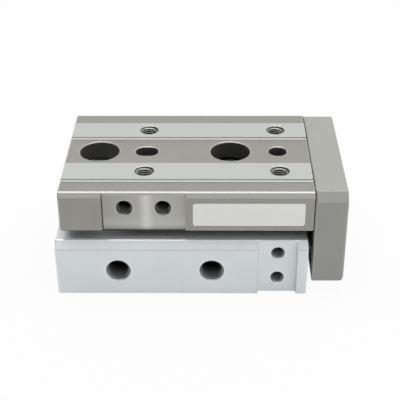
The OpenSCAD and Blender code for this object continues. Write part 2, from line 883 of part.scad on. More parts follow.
module end_plate() {
    color([0.62, 0.63, 0.61])
        difference() {
            intersection() {
                along_x(plate_x0, plate_x1)
                    chamfered_section(plate_w, plate_z, table_z, plate_chamfer, foot_chamfer);
                along_y(plate_w)
                    footed_outline(plate_x0, plate_x1, plate_z, table_z, foot_chamfer, plate_round);
            }
            for (side = SIDES) {
                on_bore(side, plate_x0 - cut)
                    cylinder(h = plate_t + 2 * cut, d = float_hole_d);
                on_bore(side, plate_x1 - float_seat_depth)
                    cylinder(h = float_seat_depth + cut, d = float_seat_d);
                rod_x(plate_x0 - cut, plate_x1 + cut, plate_screw_d + 2 * shank_play,
                      side * plate_screw_y, plate_screw_z);
                rod_x(plate_x1 - plate_head_seat, plate_x1 + cut, plate_head_d + 2 * head_play,
                      side * plate_screw_y, plate_screw_z);
                for (rise = [-tool_pitch_z / 2, tool_pitch_z / 2])
                    translate([plate_x1, side * tool_y, tool_z + rise])
                        rotate([0, 90, 0])
                            rimmed_hole(tool_tap_d, plate_t + cut, tap_rim);
            }
            rod_x(plate_x0 - cut, plate_x0 + end_bumper_seat, end_bumper_d + 2 * fit, 0, bore_z);
            end_break(plate_x0, -1, plate_w, plate_z, table_z, plate_chamfer, joint_break);
            end_break(plate_x1, 1, plate_w, plate_z, table_z, plate_chamfer, front_break);
        }
}

module plate_screws() {
    color([0.20, 0.20, 0.21])
        for (side = SIDES)
            translate([plate_x1 - plate_head_seat, side * plate_screw_y, plate_screw_z])
                rotate([0, 90, 0])
                    cap_screw(plate_screw_d, plate_t - plate_head_seat + plate_screw_depth,
                              plate_head_d, plate_head_h);
}

module end_bumper() {
    length = end_bumper_seat + plate_gap - end_bumper_gap;
    color([0.10, 0.10, 0.11])
        translate([plate_x0 + end_bumper_seat - length, 0, bore_z])
            rotate([0, 90, 0])
                washer(length, end_bumper_d / 2, 0, turned_bevel);
}

// ---- Head end of a cylinder ----

// A resin cap with a nose that shortens the bore, an O-ring groove and a hole for its bumper
module head_cap(side) {
    start = body_x0 + ring_setback + ring_t;
    groove = (cap_x - start - o_groove_w) / 2;
    color([0.15, 0.15, 0.16])
        on_bore(side, start)
            difference() {
                union() {
                    washer(cap_x - start, cap_r, 0, turned_bevel);
                    cylinder(h = nose_x - start, r = piston_r);
                }
                translate([0, 0, groove])
                    difference() {
                        cylinder(h = o_groove_w, d = seat_d + cut);
                        translate([0, 0, -cut])
                            cylinder(h = o_groove_w + 2 * cut, r = o_groove_r);
                    }
                translate([0, 0, nose_x - start - stem_l - edge_break])
                    cylinder(h = stem_l + edge_break + cut, d = stem_d + 2 * fit);
                translate([0, 0, -cut])
                    cylinder(h = pull_depth + cut, d = pull_d);
            }
}

// A rubber O-ring round a cap or cover, with its middle at x
module o_ring(side, x) {
    color([0.08, 0.08, 0.08])
        on_bore(side, x)
            rotate_extrude()
                translate([o_ring_r, 0])
                    circle(d = o_ring_d);
}

module cap_o_ring(side) {
    o_ring(side, (body_x0 + ring_setback + ring_t + cap_x) / 2);
}

// An internal retaining ring with a gap and two plier ears
module retaining_ring(side, x) {
    ring_r = seat_d / 2 + ring_bite - seat_clear;
    ear_r = 0.5;
    ear_hole_r = 0.22;
    ear_place = ring_r - ring_w - edge_break;
    ear_turn = 19;
    gap_w = 1.2;
    color([0.35, 0.35, 0.36])
        on_bore(side, x)
            linear_extrude(ring_t)
                difference() {
                    union() {
                        difference() {
                            circle(ring_r);
                            circle(ring_r - ring_w);
                            translate([0, -gap_w / 2])
                                square([ring_r + cut, gap_w]);
                        }
                        for (turn = [-ear_turn, ear_turn])
                            rotate([0, 0, turn])
                                translate([ear_place, 0])
                                    circle(ear_r);
                    }
                    for (turn = [-ear_turn, ear_turn])
                        rotate([0, 0, turn])
                            translate([ear_place, 0])
                                circle(ear_hole_r);
                }
}

// A rubber disc held in the head cap's nose by a stem
module head_bumper(side) {
    color([0.12, 0.12, 0.12])
        on_bore(side, nose_x) {
            washer(head_bumper_t, bumper_r, 0, rubber_bevel);
            translate([0, 0, -stem_l])
                cylinder(h = stem_l + head_bumper_t / 2, d = stem_d);
        }
}

// ---- Rod end of a cylinder ----

// The rod's bush and seal housing
module rod_cover(side) {
    length = rod_seat_l - ring_setback - ring_t;
    color([0.72, 0.60, 0.36])
        on_bore(side, rod_seat_x)
            difference() {
                washer(length, cap_r, rod_d / 2 + rod_clear, edge_break);
                translate([0, 0, o_groove_inset])
                    difference() {
                        cylinder(h = o_groove_w, d = seat_d + cut);
                        translate([0, 0, -cut])
                            cylinder(h = o_groove_w + 2 * cut, r = o_groove_r);
                    }
                translate([0, 0, length - seal_lip_t - seal_groove_w])
                    cylinder(h = seal_groove_w, r = seal_groove_r);
            }
}

module cover_o_ring(side) {
    o_ring(side, rod_seat_x + o_groove_inset + o_groove_w / 2);
}

// A lip seal from z = 0 up, whose lips open upwards
module lip_seal(h, r_in, r_out) {
    lip = 0.3;
    heel = 0.45;
    rotate_extrude()
        polygon([
            [r_in, 0], [r_out - rubber_bevel, 0], [r_out, h], [r_out - lip, h],
            [(r_in + r_out) / 2, h * heel], [r_in + lip, h], [r_in, h]
        ]);
}

module rod_seal(side) {
    groove_x = body_x1 - ring_setback - ring_t - seal_lip_t - seal_groove_w;
    color([0.10, 0.10, 0.10])
        on_bore(side, groove_x + seal_groove_w - seal_play)
            rotate([180, 0, 0])
                lip_seal(seal_groove_w - 2 * seal_play, rod_d / 2 + rod_clear, seal_groove_r - seat_clear);
}

module rod_bumper(side) {
    color([0.12, 0.12, 0.12])
        on_bore(side, rod_seat_x - rod_bumper_t)
            washer(rod_bumper_t, bore_d / 2 - bumper_bore_play, rod_d / 2 + bumper_rod_play, rubber_bevel);
}

// ---- Piston and rod ----

module piston(side) {
    color([0.80, 0.68, 0.40])
        on_bore(side, piston_x0)
            difference() {
                washer(piston_l, piston_r, rod_d / 2 + fit, turned_bevel);
                translate([0, 0, (piston_l - seal_groove_w) / 2])
                    difference() {
                        cylinder(h = seal_groove_w, d = bore_d + cut);
                        translate([0, 0, -cut])
                            cylinder(h = seal_groove_w + 2 * cut, r = seal_bed_r);
                    }
            }
}

module piston_seal(side) {
    color([0.08, 0.08, 0.09])
        on_bore(side, piston_x0 + (piston_l - seal_groove_w) / 2 + seal_play)
            lip_seal(seal_groove_w - 2 * seal_play, seal_bed_r + seat_clear, piston_r);
}

module magnet(side) {
    color([0.24, 0.24, 0.26])
        on_bore(side, magnet_x0)
            washer(magnet_l, piston_r - magnet_play, rod_d / 2 + fit, head_bevel);
}

// The slotted nut that clamps the magnet against the piston
module magnet_holder(side) {
    color([0.76, 0.77, 0.78])
        on_bore(side, holder_x0)
            difference() {
                washer(magnet_x0 - holder_x0, piston_r - holder_play, rod_d / 2 + fit, turned_bevel);
                block([-key_slot_w / 2, -bore_d / 2, -cut], [key_slot_w / 2, bore_d / 2, key_slot_depth]);
            }
}

module piston_rod(side) {
    color([0.82, 0.83, 0.84])
        on_bore(side, rod_x0)
            difference() {
                washer(rod_x1 - rod_x0, rod_d / 2, 0, turned_bevel);
                translate([0, 0, rod_x1 - rod_x0 - rod_screw_depth - tap_runout])
                    cylinder(h = rod_screw_depth + tap_runout + cut, d = rod_screw_d + 2 * fit);
            }
}

// A flanged bush that lets the rod float in the end plate
module floating_bush(side) {
    sleeve = plate_t - float_seat_depth - rod_entry + float_lift;
    color([0.66, 0.67, 0.69])
        on_bore(side, rod_x1)
            difference() {
                union() {
                    cylinder(h = sleeve + float_flange_t / 2, r = float_hole_d / 2 - float_play);
                    translate([0, 0, sleeve])
                        washer(float_flange_t, float_seat_d / 2 - float_play, 0, edge_break);
                }
                translate([0, 0, -cut])
                    cylinder(h = plate_t, d = rod_screw_d + shank_play);
            }
}

module rod_screw(side) {
    head_x = plate_x1 - float_seat_depth + float_lift + float_flange_t;
    color([0.22, 0.22, 0.23])
        on_bore(side, head_x)
            cap_screw(rod_screw_d, head_x - rod_x1 + rod_screw_depth, rod_head_d, rod_head_h);
}

body();
long_duct_plug();
head_duct_plug();
guide_block();
guide_screws();
rear_return_cover();
front_return_cover();
rear_scraper();
front_scraper();
cover_screws();
loaded_balls();
return_balls();
turning_balls();
table();
label_plate();
end_plate();
plate_screws();
end_bumper();
head_cap(LEFT);  // left_head_cap
head_cap(RIGHT);  // right_head_cap
retaining_ring(LEFT, body_x0 + ring_setback);  // left_head_ring
retaining_ring(RIGHT, body_x0 + ring_setback);  // right_head_ring
cap_o_ring(LEFT);  // left_cap_o_ring
cap_o_ring(RIGHT);  // right_cap_o_ring
head_bumper(LEFT);  // left_head_bumper
head_bumper(RIGHT);  // right_head_bumper
rod_cover(LEFT);  // left_rod_cover
rod_cover(RIGHT);  // right_rod_cover
retaining_ring(LEFT, body_x1 - ring_setback - ring_t);  // left_rod_ring
retaining_ring(RIGHT, body_x1 - ring_setback - ring_t);  // right_rod_ring
cover_o_ring(LEFT);  // left_cover_o_ring
cover_o_ring(RIGHT);  // right_cover_o_ring
rod_seal(LEFT);  // left_rod_seal
rod_seal(RIGHT);  // right_rod_seal
rod_bumper(LEFT);  // left_rod_bumper
rod_bumper(RIGHT);  // right_rod_bumper
piston(LEFT);  // left_piston
piston(RIGHT);  // right_piston
piston_seal(LEFT);  // left_piston_seal
piston_seal(RIGHT);  // right_piston_seal
magnet(LEFT);  // left_magnet
magnet(RIGHT);  // right_magnet
magnet_holder(LEFT);  // left_magnet_holder
magnet_holder(RIGHT);  // right_magnet_holder
piston_rod(LEFT);  // left_piston_rod
piston_rod(RIGHT);  // right_piston_rod
floating_bush(LEFT);  // left_floating_bush
floating_bush(RIGHT);  // right_floating_bush
rod_screw(LEFT);  // left_rod_screw
rod_screw(RIGHT);  // right_rod_screw
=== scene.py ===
"""Looks of a compact air-driven slide table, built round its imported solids.

Run as a script: it loads the frame, adds the screw threads that the solids leave out, gives every
piece its finish, and sets up the studio.
"""

import json
import math
from collections import namedtuple

import bpy
from bpy.props import FloatProperty, FloatVectorProperty, IntProperty, PointerProperty
from mathutils import Matrix, Vector


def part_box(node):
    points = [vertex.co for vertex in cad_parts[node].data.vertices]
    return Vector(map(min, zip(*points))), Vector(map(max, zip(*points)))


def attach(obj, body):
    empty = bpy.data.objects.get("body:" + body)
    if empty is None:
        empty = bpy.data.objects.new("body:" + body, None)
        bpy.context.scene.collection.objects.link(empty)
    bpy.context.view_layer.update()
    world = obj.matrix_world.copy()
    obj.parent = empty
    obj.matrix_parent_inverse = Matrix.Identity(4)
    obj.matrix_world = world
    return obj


bl_info = {
    "name": "Slide table looks",
    "version": (1, 0, 0),
    "blender": (4, 5, 0),
    "location": "3D View > Sidebar > Slide table",
    "description": "Threads, finishes and studio for an air-driven slide table",
    "category": "Object",
}

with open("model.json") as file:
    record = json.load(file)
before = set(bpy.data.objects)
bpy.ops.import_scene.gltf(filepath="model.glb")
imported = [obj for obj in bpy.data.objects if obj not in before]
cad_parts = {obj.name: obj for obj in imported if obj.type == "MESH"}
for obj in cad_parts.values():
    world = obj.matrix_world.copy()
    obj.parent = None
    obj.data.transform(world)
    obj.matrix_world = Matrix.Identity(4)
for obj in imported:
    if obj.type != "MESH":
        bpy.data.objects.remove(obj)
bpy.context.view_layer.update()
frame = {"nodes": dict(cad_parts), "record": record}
NODES = frame["nodes"]
MOUNTS = {mount["name"]: mount for mount in frame["record"]["mounts"]}

MM = 0.001
# A limit that a box in a finish leaves open
FAR = 1.0
# Rays at each point for soft edges and for dim gaps
RAYS = 6
# How much a soft edge's turn away from its face counts
EDGE_GAIN = 12.0
# Sockets of the Mix node that share their names: its vectors and its colours
MIX_VECTORS, VECTOR_RESULT = (4, 5), 1
MIX_COLOURS, COLOUR_RESULT = (6, 7), 2

# How far a thread's root is sunk in the wall of its hole
SINK = 0.01 * MM
# Half a ridge's width at its root and at its crest, as shares of the pitch
ROOT_SHARE = 0.46
CREST_SHARE = 0.10
# What stays free below a thread's last turn
END_FREE = 0.1 * MM
# Vertices closer than this are one
SAME_PLACE = 1e-7

# Depth of the pale rim round a hole
RIM = 0.2 * MM
# How far past a hole's wall its inside, painted dark as painted shade, still counts
WALL = 0.05 * MM
# Depths from which painted shade dims a hole's wall, and at which it makes it quite dark
DULL_DEPTH = 1.2 * MM
DARK_DEPTH = 2.2 * MM
# How much sooner painted shade darkens a level hole's upper wall
UPPER_WALL = 0.5
# How far off a wall must stand not to darken a gap with painted shade
HOLLOW = 4.0 * MM
# How far a face may be off its place, and how deep the marks on an outer face reach
TOUCH = 0.02 * MM
SKIN = 0.12 * MM

# Chamfer along the body's upper edges
BODY_BEVEL = 1.25 * MM
# From the ports' line to both ends of the pocket that they open in
POCKET_START = -3.3 * MM
POCKET_END = 3.15 * MM
# Half the width of the thin line of painted shade along an edge, and how far from it edges stay
# sharp
MILL_LINE = 0.07 * MM
SHARP_REACH = 0.4 * MM
# How bright that line is against the body's faces
LINE_LIGHT = 0.70
# How far the body's painted edge highlight reaches down, in over the top, and out over the chamfer
EDGE_DOWN = 0.25 * MM
EDGE_IN = 0.34 * MM
EDGE_OUT = 0.22 * MM
# How far down from the body's top gaps get painted shade, how far in from its rear end they get
# more of it, and how fast that rises towards the end
GAP_DOWN = 0.6 * MM
REAR_REACH = 8.0 * MM
REAR_GAIN = 1.5

# Chamfer along the table's upper edges, and how far its painted edge highlight reaches down and up
TABLE_BEVEL = 0.75 * MM
TABLE_EDGE_DOWN = 0.16 * MM
TABLE_EDGE_UP = 0.1 * MM
# Half the width of a ground land, and how far from its side its riser and the riser's foot count
LAND_HALF = 2.7 * MM
RISER_REACH = 0.35 * MM
FOOT_REACH = 0.32 * MM
# Height of the painted highlight line along a riser's foot
FOOT_RISE = 0.03 * MM
# How far up and in the painted shade along the table's lower edge reaches
LOW_EDGE_UP = 0.3 * MM
LOW_EDGE_IN = 0.6 * MM
# Width of the dark joint between the table and the end plate
JOINT = 0.14 * MM

# Length of the flat milled in the table's side, and from its rear end to its first tap
FLAT_LENGTH = 13.55 * MM
FLAT_TO_TAP = 3.6 * MM
# Half the width of the painted shade lines at the flat's rear and front ends, how far in from
# the table's side they reach, and how far below its top they stop
FLAT_LINES = (0.09 * MM, 0.045 * MM)
LINE_IN = 0.5 * MM
LINE_DOWN = 0.2 * MM
# How bright the flat is painted along its length as a painted highlight band, and where its
# painted low sheen lies in height, each stop a share of the way and a strength
FLAT_LIGHT = ((0.0, 0.53), (0.12, 0.56), (0.43, 0.64), (0.515, 0.92), (0.55, 0.92), (0.62, 0.68),
              (0.90, 0.63), (1.0, 0.55))
FLAT_SHEEN = ((0.14, 0.0), (0.26, 1.0), (0.40, 1.0), (0.60, 0.0))
# Height over which that painted sheen is laid out, and height of the painted shade band below it
SHEEN_HEIGHT = 5.0 * MM
LOW_BAND = 1.0 * MM

# What brings the painted shade band and the painted sheen to their full strength on the flat
LOW_GAIN = 1.1
LOW_SHARE = 0.42
SHEEN_SHARE = 0.18
# Depth at which painted shade makes the flat's taps quite dark
FLAT_TAP_DARK = 2.0 * MM

# How much brighter the table's chamfers are painted than its faces, as painted light, and how
# much of a line or edge shows
BEVEL_LIGHT = 1.3
MARK_SHARE = 0.9
END_SHARE = 0.8
# Small fixed colours of the table: worn edges, paler also as a painted highlight; the risers'
# walls, painted lighter as painted light; painted highlights along the risers' feet and the upper
# edge; and painted shade lines at the flat's ends
WORN_EDGE = (0.80, 0.80, 0.76)
RISER_WALL = (0.50, 0.50, 0.47)
RISER_FOOT = (0.92, 0.92, 0.87)
UPPER_EDGE = (0.96, 0.95, 0.90)
END_LINE = (0.02, 0.02, 0.018)
# What each part of the table adds to its roughness and to its metallic share
TABLE_ROUGHNESS = {"all": 0.44, "lands": -0.02, "flat": -0.06, "grain": 0.08, "edges": -0.34,
                   "channel": 0.4}
TABLE_METAL = {"all": 0.85, "edges": 0.15, "rim": -0.6}
# Other small fixed colours: black, the body's upper edge as a painted highlight, painted shade
# on the end plate's back, and painted shade at the deep end of a thread
BLACK = (0.0, 0.0, 0.0)
BODY_EDGE = (0.96, 0.98, 0.98)
PLATE_SHADE = (0.05, 0.05, 0.042)
THREAD_END = (0.01, 0.01, 0.01)
# How far turning marks are drawn out along x, y and z
TURNED = (14.0, 1.0, 1.0)
# How the grain and the edges of anodised pieces change their roughness, and the least it may be
GRAIN_ROUGHNESS = 0.10
EDGE_POLISH = 0.45
SMOOTHEST = 0.06


def corner(node, end, axis):
    """One coordinate of a node's lowest (end 0) or highest (end 1) corner."""
    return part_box(node)[end]["xyz".index(axis)]


# Depths of the holes in each pattern, in millimetres
PATTERN_DEPTHS = {"table_taps": 3.3, "table_edge_taps": 2.9, "side_taps": 4.4,
                  "underside_taps": 6.0, "end_plate_taps": 5.3, "body_through_holes": 10.25}
# The body's threaded holes
BODY_HOLES = ("side_taps", "extend_port", "retract_port", "underside_taps")

# Heights and lengths that the pieces and finishes share
TABLE_TOP = corner("end_plate", 1, "z")
LAND_TOP = corner("table", 1, "z")
SKIRT_LOW = corner("table", 0, "z")
BODY_TOP = corner("body", 1, "z")
TABLE_SIDE = corner("table", 1, "y")
BODY_SIDE = corner("body", 1, "y")
BODY_REAR = corner("body", 0, "x")
PLATE_REAR = corner("end_plate", 0, "x")
# Half the width of the table's channel, with its walls
CHANNEL_HALF = corner("rear_scraper", 1, "y") + 0.3 * MM

# One round hole: where it opens, the way out of it, its wall's radius and its depth
Hole = namedtuple("Hole", "mouth axis radius bottom")


def flat_box():
    """Start, end and face of the flat milled in the table's side."""
    taps = MOUNTS["table_edge_taps"]
    half = taps["dims"]["spacing_x_mm"] * MM / 2.0
    start = taps["pos_m"][0] - half - FLAT_TO_TAP
    return start, start + FLAT_LENGTH, taps["pos_m"][1]


# ---- Settings ----

def colour(name, description, value):
    return FloatVectorProperty(name=name, description=description, default=value, size=3,
                               subtype="COLOR", min=0.0, max=1.0)


def share(name, description, value):
    return FloatProperty(name=name, description=description, default=value, min=0.0, max=1.0,
                         subtype="FACTOR")


def length(name, description, value):
    return FloatProperty(name=name, description=description, default=value, min=0.0,
                         subtype="DISTANCE", unit="LENGTH", precision=5)


class ThreadSizes(bpy.types.PropertyGroup):
    """Sizes of the screw threads."""
    pitch_m4: length("M4 pitch", "Lead of the side and underside threads", 0.7 * MM)
    pitch_m3: length("M3 pitch", "Lead of the end plate threads", 0.5 * MM)
    pitch_table: length("Table pitch", "Lead of the table's threads, which are finely cut",
                        0.4 * MM)
    pitch_m2: length("M2.5 pitch", "Lead of the threads in the ports and the milled flat",
                     0.45 * MM)
    height: share("Ridge height", "Height of a ridge as a share of the pitch", 0.5)
    steps: IntProperty(name="Steps", description="Steps in one turn of a thread", default=28,
                       min=8, max=64)


class FinishSettings(bpy.types.PropertyGroup):
    """Colours of the finishes, and how soft their edges are."""
    body: colour("Body", "Silver anodised aluminium", (0.92, 0.965, 0.985))
    table: colour("Table", "Milled and plated steel", (0.34, 0.335, 0.305))
    land: colour("Lands", "Ground faces of the table", (0.535, 0.55, 0.525))
    flat: colour("Flat", "Bright milled flat on the table's side", (0.655, 0.65, 0.605))
    # Painted shade: the dark grey laid on hole walls and inside the table's channel
    bore: colour("Bores", "Inner walls of holes and channels, left dark", (0.06, 0.058, 0.052))
    # Painted shade: the near-black laid into narrow gaps, deep in holes and on the table's low edge
    shade: colour("Gaps", "Narrow gaps, where little light and some old oil gather",
                  (0.012, 0.012, 0.011))
    plate: colour("End plate", "Grey hard anodised aluminium", (0.375, 0.38, 0.351))
    label: colour("Name plate", "Bare pale film", (1.0, 1.0, 0.955))
    guide: colour("Guide steel", "Hardened and ground steel", (0.42, 0.43, 0.44))
    ball: colour("Balls", "Polished steel", (0.72, 0.73, 0.74))
    bright: colour("Bright steel", "Turned and punched stainless steel", (0.58, 0.59, 0.60))
    chrome: colour("Rods", "Hard chrome", (0.66, 0.67, 0.69))
    dark: colour("Screws", "Black oxide", (0.030, 0.030, 0.033))
    resin: colour("Resin", "Moulded black acetal", (0.018, 0.018, 0.019))
    brass: colour("Brass", "Turned brass", (0.62, 0.44, 0.17))
    magnet: colour("Magnet", "Bonded magnet", (0.055, 0.055, 0.06))
    rubber: colour("Rubber", "Seals and bumpers", (0.016, 0.016, 0.016))
    edge: length("Edge softness", "Radius at which a machined edge catches the light", 0.22 * MM)


class StudioSettings(bpy.types.PropertyGroup):
    """Floor, light and camera."""
    floor_size: length("Floor", "Side of the floor", 6.0)
    floor: colour("Floor colour", "Pale floor", (0.80, 0.80, 0.80))
    glow: share("Floor white", "How much of the floor shows as plain white", 0.93)
    sky: share("Sky", "Strength of the even light from the sides", 0.85)
    sky_back: share("Back light", "How much brighter the sky is behind than in front", 0.415)
    sky_side: share("Side light", "How much darker the sky is off the object's rear end", 0.75)
    lamp_power: FloatProperty(name="Lamp power", description="Power of the wide lamp overhead",
                              default=0.56, min=0.0, unit="POWER")
    lamp_back: length("Lamp offset", "How far behind the object the lamp hangs", 0.02)
    lamp_height: length("Lamp height", "Height of the lamp", 0.36)
    lens: FloatProperty(name="Lens", description="Focal length of the camera", default=89.34,
                        min=10.0, unit="CAMERA")
    camera: FloatVectorProperty(name="Camera", description="Place of the camera", size=3,
                                default=(0.002367, -0.15075, 0.100715), subtype="TRANSLATION",
                                unit="LENGTH")
    down: FloatProperty(name="Down", description="How far the camera looks down",
                        default=math.radians(31.198), subtype="ANGLE", unit="ROTATION")
    turn: FloatProperty(name="Turn", description="How far the camera turns to its right",
                        default=math.radians(-0.944), subtype="ANGLE", unit="ROTATION")
    roll: FloatProperty(name="Roll", description="How far the camera leans",
                        default=math.radians(-0.424), subtype="ANGLE", unit="ROTATION")


# ---- Node materials ----

class Value:
    """A socket, with the arithmetic that the finishes are written in."""

    def __init__(self, finish, socket):
        self.finish = finish
        self.socket = socket

    def maths(self, operation, *others, clamp=False):
        return self.finish.node("ShaderNodeMath", {"operation": operation, "use_clamp": clamp},
                                dict(enumerate((self, *others))))

    def __add__(self, other):
        return self.maths("ADD", other)

    __radd__ = __add__

    def __sub__(self, other):
        return self.maths("SUBTRACT", other)

    def __rsub__(self, other):
        return self.finish.node("ShaderNodeMath", {"operation": "SUBTRACT"}, {0: other, 1: self})

    def __mul__(self, other):
        return self.maths("MULTIPLY", other)

    __rmul__ = __mul__

    def __truediv__(self, other):
        return self.maths("DIVIDE", other)

    def __gt__(self, other):
        return self.maths("GREATER_THAN", other)

    def __lt__(self, other):
        return self.maths("LESS_THAN", other)

    def __abs__(self):
        return self.maths("ABSOLUTE")

    def least(self, other):
        return self.maths("MINIMUM", other)

    def most(self, other):
        return self.maths("MAXIMUM", other)

    def clamped(self):
        return self.maths("ADD", 0.0, clamp=True)


class Finish:
    """One node material, or the sky's nodes. Its node method is the only way a node is made."""

    def __init__(self, name, sky=False):
        self.material = (bpy.data.worlds if sky else bpy.data.materials).new(name)
        self.material.use_nodes = True
        self.tree = self.material.node_tree
        self.tree.nodes.clear()

    def node(self, kind, settings=None, inputs=None, output=0):
        made = self.tree.nodes.new(kind)
        for key, value in (settings or {}).items():
            if key == "stops":
                ramp = made.color_ramp
                for i, (place, shade) in enumerate(value):
                    stop = ramp.elements[i] if i < 2 else ramp.elements.new(place)
                    stop.position = place
                    stop.color = (shade, shade, shade, 1.0)
            else:
                setattr(made, key, value)
        for key, value in (inputs or {}).items():
            if isinstance(value, Value):
                self.tree.links.new(value.socket, made.inputs[key])
            elif made.inputs[key].type == "RGBA":
                made.inputs[key].default_value = tuple(value)[:3] + (1.0,)
            else:
                made.inputs[key].default_value = value
        return Value(self, made.outputs[output]) if len(made.outputs) else None

    def vector(self, operation, *inputs, output="Vector"):
        return self.node("ShaderNodeVectorMath", {"operation": operation},
                         dict(enumerate(inputs)), output)

    def place(self):
        """Object coordinates in millimetres."""
        point = self.node("ShaderNodeTexCoord", output="Object")
        return self.node("ShaderNodeVectorMath", {"operation": "SCALE"},
                         {0: point, "Scale": 1.0 / MM})

    def stretched(self, point, x, y, z):
        return self.vector("MULTIPLY", point, (x, y, z))

    def part(self, point, axis):
        return self.node("ShaderNodeSeparateXYZ", inputs={0: point}, output="xyz".index(axis))

    def noise(self, point, scale, detail=2.0, roughness=0.5):
        return self.node("ShaderNodeTexNoise", inputs={"Vector": point, "Scale": scale,
                         "Detail": detail, "Roughness": roughness})

    def mixed(self, factor, low, high):
        """A colour between low and high."""
        first, second = MIX_COLOURS
        return self.node("ShaderNodeMix", {"data_type": "RGBA"},
                         {0: factor, first: low, second: high}, COLOUR_RESULT)

    def ramp(self, factor, *stops):
        return self.node("ShaderNodeValToRGB", {"stops": stops}, {0: factor})

    def soft_edges(self, radius, quiet=None):
        """The normal with its edges rounded, and how much of an edge each point is.
        Where quiet is 1, edges stay sharp."""
        rounded = self.node("ShaderNodeBevel", {"samples": RAYS}, {"Radius": radius})
        flat = self.node("ShaderNodeNewGeometry", output="True Normal")
        match = self.vector("DOT_PRODUCT", rounded, flat, output="Value")
        edges = ((1.0 - match) * EDGE_GAIN).clamped()
        if quiet is not None:
            first, second = MIX_VECTORS
            rounded = self.node("ShaderNodeMix", {"data_type": "VECTOR"},
                                {0: quiet, first: rounded, second: flat}, VECTOR_RESULT)
            edges = edges * (1.0 - quiet)
        return rounded, edges

    def between(self, value, low, high):
        """1 where a coordinate lies between two places."""
        return (value > low / MM) * (value < high / MM)

    def near(self, value, place, reach):
        """1 where a coordinate is less than reach from a place."""
        return self.between(value, place - reach, place + reach)

    def in_box(self, point, low, high):
        """1 between two corners."""
        inner = None
        for i, axis in enumerate("xyz"):
            part = self.part(point, axis)
            for value, limit in ((part > low[i] / MM, low[i]), (part < high[i] / MM, high[i])):
                if abs(limit) < FAR:
                    inner = value if inner is None else inner * value
        return inner

    def from_mouth(self, point, hole):
        """The way from a hole's mouth to each point."""
        return self.vector("SUBTRACT", point, tuple(hole.mouth / MM))

    def off_axis(self, point, hole):
        """How far each point is from a hole's axis, in millimetres."""
        across = tuple(1.0 - abs(a) for a in hole.axis)
        return self.vector("LENGTH", self.stretched(self.from_mouth(point, hole), *across),
                           output="Value")

    def depth(self, point, hole):
        """How far below a hole's mouth each point is, in millimetres."""
        return self.vector("DOT_PRODUCT", self.from_mouth(point, hole), tuple(-hole.axis),
                           output="Value")

    def inside(self, point, hole, spare, skin):
        """1 in a round hole and spare more than its radius, from skin below its mouth on."""
        depth = self.depth(point, hole)
        return ((self.off_axis(point, hole) < (hole.radius + spare) / MM) * (depth > skin / MM)
                * (depth < (hole.bottom + WALL) / MM))

    def depth_shade(self, point, hole, reach):
        """0 at a hole's mouth, 1 from reach down and under the hole's upper wall."""
        depth = self.depth(point, hole)
        lift = self.part(self.from_mouth(point, hole), "z") * (MM / hole.radius) * UPPER_WALL
        below = (depth - RIM / MM).most(0.0)
        shade = below * (MM / reach) + lift * (1.0 - abs(hole.axis.z))
        return shade.clamped() * (depth > RIM / MM)

    def shut_off(self):
        """The share of the sky over each point that near walls shut off."""
        return 1.0 - self.node("ShaderNodeAmbientOcclusion", {"samples": RAYS},
                               {"Distance": HOLLOW}, "AO")

    def hollows(self, start, end, shut=None):
        """0 in the open, 1 deep in a gap: rises while the share shut off goes from start to end."""
        shut = shut or self.shut_off()
        return ((shut - start) / (end - start)).clamped()

    def bump(self, height, distance, strength=0.5, normal=None):
        inputs = {"Height": height, "Distance": distance, "Strength": strength}
        if normal is not None:
            inputs["Normal"] = normal
        return self.node("ShaderNodeBump", inputs=inputs)

    def close(self, **sockets):
        """Ends the material in a Principled shader with these socket values."""
        names = {"base": "Base Color", "metallic": "Metallic", "roughness": "Roughness",
                 "normal": "Normal", "coat": "Coat Weight"}
        shader = self.node("ShaderNodeBsdfPrincipled",
                           inputs={names[key]: value for key, value in sockets.items()})
        self.node("ShaderNodeOutputMaterial", inputs={"Surface": shader})
        return self.material


def tinted(tint, share):
    """A colour that is share times as bright."""
    return tuple(min(1.0, part * share) for part in tint)


def hole_mouths(*names):
    """Each hole in the named mounts."""
    holes = []
    for name in names:
        mount = MOUNTS[name]
        axis = Vector(mount["axis"])
        dims = mount["dims"]
        if mount["kind"] == "bolt_pattern":
            mouths = pattern_places(mount)
            radius = dims["hole_r_mm"] * MM
            bottom = PATTERN_DEPTHS[name] * MM
        else:
            mouths = [Vector(mount["pos_m"]) + axis * dims["length_mm"] * MM / 2.0]
            radius = dims["r_mm"] * MM
            bottom = dims["length_mm"] * MM + RIM
        holes += [Hole(mouth, axis, radius, bottom) for mouth in mouths]
    return holes


def hole_mask(finish, point, holes, skin, spare=WALL):
    """1 inside any of the holes."""
    mask = 0.0
    for hole in holes:
        mask = finish.inside(point, hole, spare, skin) + mask
    return mask.clamped()


def hole_shade(finish, point, holes, reach):
    """How much painted shade each point gets in the holes: none at a mouth, black from reach down.
    """
    shade = 0.0
    for hole in holes:
        here = finish.inside(point, hole, WALL, 0.0) * finish.depth_shade(point, hole, reach)
        shade = here + shade
    return shade.clamped()


def crests(finish, point, holes, height):
    """How far each point of a thread stands in from its hole's wall, as a share of height."""
    total = 0.0
    for hole in holes:
        rise = ((hole.radius / MM - finish.off_axis(point, hole)) * (MM / height)).clamped()
        total = rise * finish.inside(point, hole, WALL, -FAR) + total
    return total.clamped()


